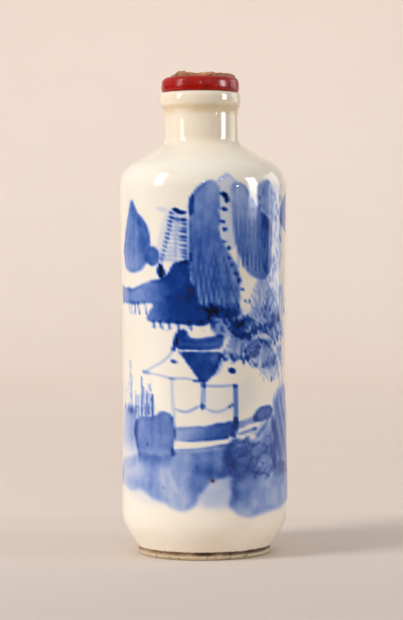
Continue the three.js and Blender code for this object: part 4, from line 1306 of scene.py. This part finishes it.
class SNUFF_OT_collar(bpy.types.Operator):
    """Makes the red glass ring that sits on the lip"""
    bl_idname = "snuff.collar"
    bl_label = "Glass collar"

    def execute(self, context):
        stopper = context.scene.snuff_stopper
        outer, low, high = COLLAR_HIGH[0], COLLAR_LOW[2], COLLAR_HIGH[2]
        hole, edge, draft = 2.7 * MM, 1.2 * MM, 0.05 * MM
        foot_in, foot_up, belly = 0.4 * MM, 0.35 * MM, 0.8 * MM
        top = outer - draft
        draw_section([
            straight((hole, low), (outer - foot_in, low), 8),
            bend((outer - foot_in, low), (top, low), (top, low + foot_up), 5),
            bend((top, low + foot_up), (outer + draft, low + belly), (top, high - edge), 8),
            bend((top, high - edge), (top, high), (top - edge, high), 10),
            straight((top - edge, high), (hole + edge / 4, high), 8),
            bend((hole + edge / 4, high), (hole, high), (hole, high - edge / 4), 3),
            straight((hole, high - edge / 4), (hole, low), 4),
        ])
        turn_section(((2 * math.pi, 160),))
        obj = finished("glass_collar", angle=60)
        shake(obj, "ground by hand", 5 * MM, 0.1 * MM)
        shake(obj, "worn edges", 0.9 * MM, 0.035 * MM)
        set_askew(obj, stopper.collar_tilt, low - 2 * MM, low - MM, low)
        use_material(obj, worn_red_glass(stopper))
        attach(obj, "root")
        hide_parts("collar")
        return {"FINISHED"}


class SNUFF_OT_cork(bpy.types.Operator):
    """Makes the cork that runs through the collar into the mouth"""
    bl_idname = "snuff.cork"
    bl_label = "Cork"

    def execute(self, context):
        stopper = context.scene.snuff_stopper
        plug, low, high = CORK_HIGH[0], CORK_LOW[2], CORK_HIGH[2]
        spigot, chamfer, taper = 2.4 * MM, 0.3 * MM, 0.25 * MM
        shelf = COLLAR_LOW[2] - chamfer
        rounding, edge_dip, dip = 0.3 * MM, 0.05 * MM, 0.1 * MM
        draw_section([
            straight((0, low), (plug - taper - chamfer, low), 8),
            straight((plug - taper - chamfer, low), (plug - taper, low + chamfer), 2),
            straight((plug - taper, low + chamfer), (plug, shelf), 12),
            straight((plug, shelf), (spigot, shelf), 2),
            straight((spigot, shelf), (spigot, high - rounding), 10),
            bend((spigot, high - rounding), (spigot * 0.95, high), (spigot * 0.7, high - edge_dip), 4),
            straight((spigot * 0.7, high - edge_dip), (0, high - dip), 10),
        ])
        turn_section(((2 * math.pi, 96),))
        obj = finished("cork_stub", angle=60)
        shake(obj, "cut and crumbled", 0.7 * MM, 0.16 * MM)
        rim = COLLAR_LOW[2]
        set_askew(obj, stopper.collar_tilt, rim - 2 * MM, rim, rim)
        use_material(obj, old_cork(stopper))
        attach(obj, "root")
        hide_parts("cork")
        return {"FINISHED"}


class SNUFF_OT_cement(bpy.types.Operator):
    """Makes the lumpy ridge of cement on top of the collar"""
    bl_idname = "snuff.cement"
    bl_label = "Cement"

    def execute(self, context):
        stopper = context.scene.snuff_stopper
        low = CEMENT_LOW[2]
        inner = 2.7 * MM
        buried = 0.3
        bpy.ops.object.select_all(action="DESELECT")
        ring, tube = 2.0, 1.0
        bpy.ops.mesh.primitive_torus_add(major_radius=ring, minor_radius=tube, major_segments=220,
                                         minor_segments=40)
        obj = bpy.context.object
        spots = places(obj)
        angle = np.arctan2(spots[:, 1], spots[:, 0])
        out = (np.hypot(spots[:, 0], spots[:, 1]) - (ring - tube)) / (2 * tube)
        radius = inner + out * (self.reach(angle) - inner)
        up = low + np.maximum(spots[:, 2], -buried) * self.ridge(angle)
        put_places(obj, np.stack([radius * np.cos(angle), radius * np.sin(angle), up], axis=1))
        shake(obj, "lumps", 1.3 * MM, 0.42 * MM)
        shake(obj, "crumbs", 0.4 * MM, 0.16 * MM)
        bpy.ops.object.mode_set(mode="EDIT")
        bpy.ops.mesh.select_all(action="SELECT")
        bpy.ops.mesh.bisect(plane_co=(0, 0, low), plane_no=(0, 0, 1), use_fill=False, clear_inner=True)
        bpy.ops.mesh.select_all(action="SELECT")
        bpy.ops.mesh.fill_holes(sides=0)
        bpy.ops.mesh.normals_make_consistent(inside=False)
        obj = finished("cement_ridge", angle=70)
        set_askew(obj, stopper.collar_tilt, low - 2 * MM, low - MM, COLLAR_LOW[2])
        use_material(obj, broken_cement(stopper))
        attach(obj, "root")
        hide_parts("cement")
        return {"FINISHED"}

    def ridge(self, angle):
        """Height of the ridge: low all round, with a tall lump at the front left and a lower one at right."""
        def lump(at, width):
            return np.exp(-(np.sin((angle - math.radians(at)) / 2) / width) ** 2)
        ripple = 0.12 * np.sin(5 * angle + 1) + 0.08 * np.sin(9 * angle)
        return MM * (0.5 * (1 + ripple) + 0.35 * lump(215, 0.2) + 0.15 * lump(350, 0.4))

    def reach(self, angle):
        """How far out the cement ran."""
        return MM * (5.05 + 0.75 * np.cos(angle / 2) ** 4 + 0.12 * np.sin(4 * angle + 2))


class SNUFF_OT_stage(bpy.types.Operator):
    """Sets up the paper sweep, the lights and the camera"""
    bl_idname = "snuff.stage"
    bl_label = "Stage"

    def execute(self, context):
        stage = context.scene.snuff_stage
        self.lay_paper(stage)
        self.place_light("key light", -62, 26, (0.2, 0.4), stage.key_radiance)
        bpy.context.object.visible_glossy = False
        self.place_light("strip light", 72, 17, (0.17, 0.33), stage.strip_radiance)
        bpy.context.object.data.color = (0.9, 0.96, 1.0)
        self.place_glint("key glint", -64, 24, (0.14, 0.42), 6.5)
        self.place_glint("strip glint", 73, 15.3, (0.15, 0.296), 12.0)
        self.place_glint("flank glint", 116, 14, (0.3, 0.34), 2.2)
        for bearing, elevation in ((1, 20), (28, 28), (48, 4)):
            self.place_glint("lamp glint", bearing, elevation, (0.025, 0.025), 40.0)
        self.light_backdrop(stage.backdrop_radiance)
        self.light_room(context.scene, stage)
        self.place_camera(context.scene, stage)
        context.scene.view_settings.view_transform = "Standard"
        return {"FINISHED"}

    def lay_paper(self, stage):
        """A floor that turns up behind the bottle in one soft fold."""
        half, back, front, top = 0.65, 0.62, 0.22, 0.7
        fold = 0.2
        bpy.ops.object.select_all(action="DESELECT")
        bpy.ops.mesh.primitive_plane_add(size=1, location=(0, 0, 0))
        obj = bpy.context.object
        spots = places(obj)
        put_places(obj, np.stack([spots[:, 0] * 2 * half, np.where(spots[:, 1] > 0, back, -front),
                                  spots[:, 2]], axis=1))
        bpy.ops.object.mode_set(mode="EDIT")
        bpy.ops.mesh.select_mode(type="EDGE")
        bpy.ops.mesh.select_all(action="DESELECT")
        bpy.ops.object.mode_set(mode="OBJECT")
        for edge in obj.data.edges:
            edge.select = all(obj.data.vertices[i].co.y > 0 for i in edge.vertices)
        bpy.ops.object.mode_set(mode="EDIT")
        bpy.ops.mesh.extrude_region_move(TRANSFORM_OT_translate={"value": (0, 0, top)})
        bpy.ops.object.mode_set(mode="OBJECT")
        for edge in obj.data.edges:
            ends = [obj.data.vertices[i].co for i in edge.vertices]
            edge.select = all(abs(co.y - back) < TINY and abs(co.z) < TINY for co in ends)
        bpy.ops.object.mode_set(mode="EDIT")
        bpy.ops.mesh.bevel(offset=fold, segments=24, affect="EDGES")
        obj = finished("paper_sweep", angle=30)
        obj.data.materials.append(studio_paper(stage))

    def place_light(self, name, bearing, elevation, size, radiance):
        """A flat light that faces the bottle. The bearing is from the front to the right."""
        away, middle = 0.6, 0.04
        turn, lift = math.radians(bearing), math.radians(elevation)
        bpy.ops.object.light_add(type="AREA", location=(away * math.cos(lift) * math.sin(turn),
                                                        -away * math.cos(lift) * math.cos(turn),
                                                        middle + away * math.sin(lift)),
                                 rotation=(math.pi / 2 - lift, 0, turn))
        obj = bpy.context.object
        obj.name = name
        light = obj.data
        light.shape = "RECTANGLE"
        light.size, light.size_y = size
        light.energy = radiance * math.pi * size[0] * size[1]

    def light_backdrop(self, radiance):
        """A light over the sweep, turned so that only its beam's edge grazes the bottle's lower half."""
        behind, above, tilt = 0.36, 0.55, math.radians(26)
        bpy.ops.object.light_add(type="AREA", location=(0, behind, above), rotation=(tilt, 0, 0))
        obj = bpy.context.object
        obj.name = "backdrop light"
        light = obj.data
        light.shape = "RECTANGLE"
        light.size, light.size_y = 0.6, 0.1
        light.spread = math.radians(118)
        light.energy = radiance * math.pi * light.size * light.size_y

    def place_glint(self, name, bearing, elevation, size, radiance):
        """A card that shows in reflections and adds no diffuse light."""
        self.place_light(name, bearing, elevation, size, radiance)
        bpy.context.object.visible_diffuse = False

    def light_room(self, scene, stage):
        """A dim room that is brighter towards its ceiling."""
        world = bpy.data.worlds.new("studio room")
        scene.world = world
        world.use_nodes = True
        tree = world.node_tree
        background = tree.nodes["Background"]
        background.inputs["Color"].default_value = linear("#FFFCF7")
        coords = add(tree, "ShaderNodeTexCoord").outputs["Generated"]
        height = add(tree, "ShaderNodeSeparateXYZ", {"Vector": coords}).outputs["Z"]
        sky = add(tree, "ShaderNodeMapRange", {"Value": height, "From Min": 0.05, "From Max": 0.3,
                                               "To Min": 0.12, "To Max": stage.room})
        tree.links.new(sky.outputs["Result"], background.inputs["Strength"])

    def place_camera(self, scene, stage):
        """Looks at the bottle from the front, a little down, with the bottle leaning a trace to the left."""
        pitch, roll, aside = math.radians(1.97), math.radians(-0.4), -0.25 * MM
        bpy.ops.object.camera_add(location=(aside, -stage.distance, stage.eye_height))
        camera = bpy.context.object
        camera.name = "camera"
        camera.rotation_mode = "ZXY"
        camera.rotation_euler = (math.pi / 2 - pitch, 0, 0)
        camera.rotation_mode = "QUATERNION"
        camera.rotation_quaternion = camera.rotation_quaternion @ Quaternion((0, 0, 1), roll)
        camera.data.lens = stage.lens
        camera.data.sensor_width = 36
        camera.data.clip_start = 0.01
        scene.camera = camera


class SNUFF_PT_panel(bpy.types.Panel):
    """Lists the pieces and their settings"""
    bl_idname = "SNUFF_PT_panel"
    bl_label = "Snuff Bottle"
    bl_space_type = "VIEW_3D"
    bl_region_type = "UI"
    bl_category = "Snuff Bottle"

    def draw(self, context):
        for group in SETTINGS:
            box = self.layout.box()
            values = getattr(context.scene, group)
            for name in values.__annotations__:
                box.prop(values, name)
        for piece in PIECES:
            self.layout.operator(piece.bl_idname)


SETTINGS = {"snuff_bottle": BottleSettings, "snuff_glaze": GlazeSettings, "snuff_stopper": StopperSettings,
            "snuff_stage": StageSettings}
PIECES = (SNUFF_OT_bottle, SNUFF_OT_collar, SNUFF_OT_cork, SNUFF_OT_cement, SNUFF_OT_stage)


def register():
    for group in (*SETTINGS.values(), *PIECES, SNUFF_PT_panel):
        bpy.utils.register_class(group)
    for name, group in SETTINGS.items():
        setattr(bpy.types.Scene, name, bpy.props.PointerProperty(type=group))


def unregister():
    for name in SETTINGS:
        delattr(bpy.types.Scene, name)
    for group in reversed((*SETTINGS.values(), *PIECES, SNUFF_PT_panel)):
        bpy.utils.unregister_class(group)


def main():
    register()
    bpy.ops.snuff.bottle()
    bpy.ops.snuff.collar()
    bpy.ops.snuff.cork()
    bpy.ops.snuff.cement()
    bpy.ops.snuff.stage()


if __name__ == "__main__":
    main()
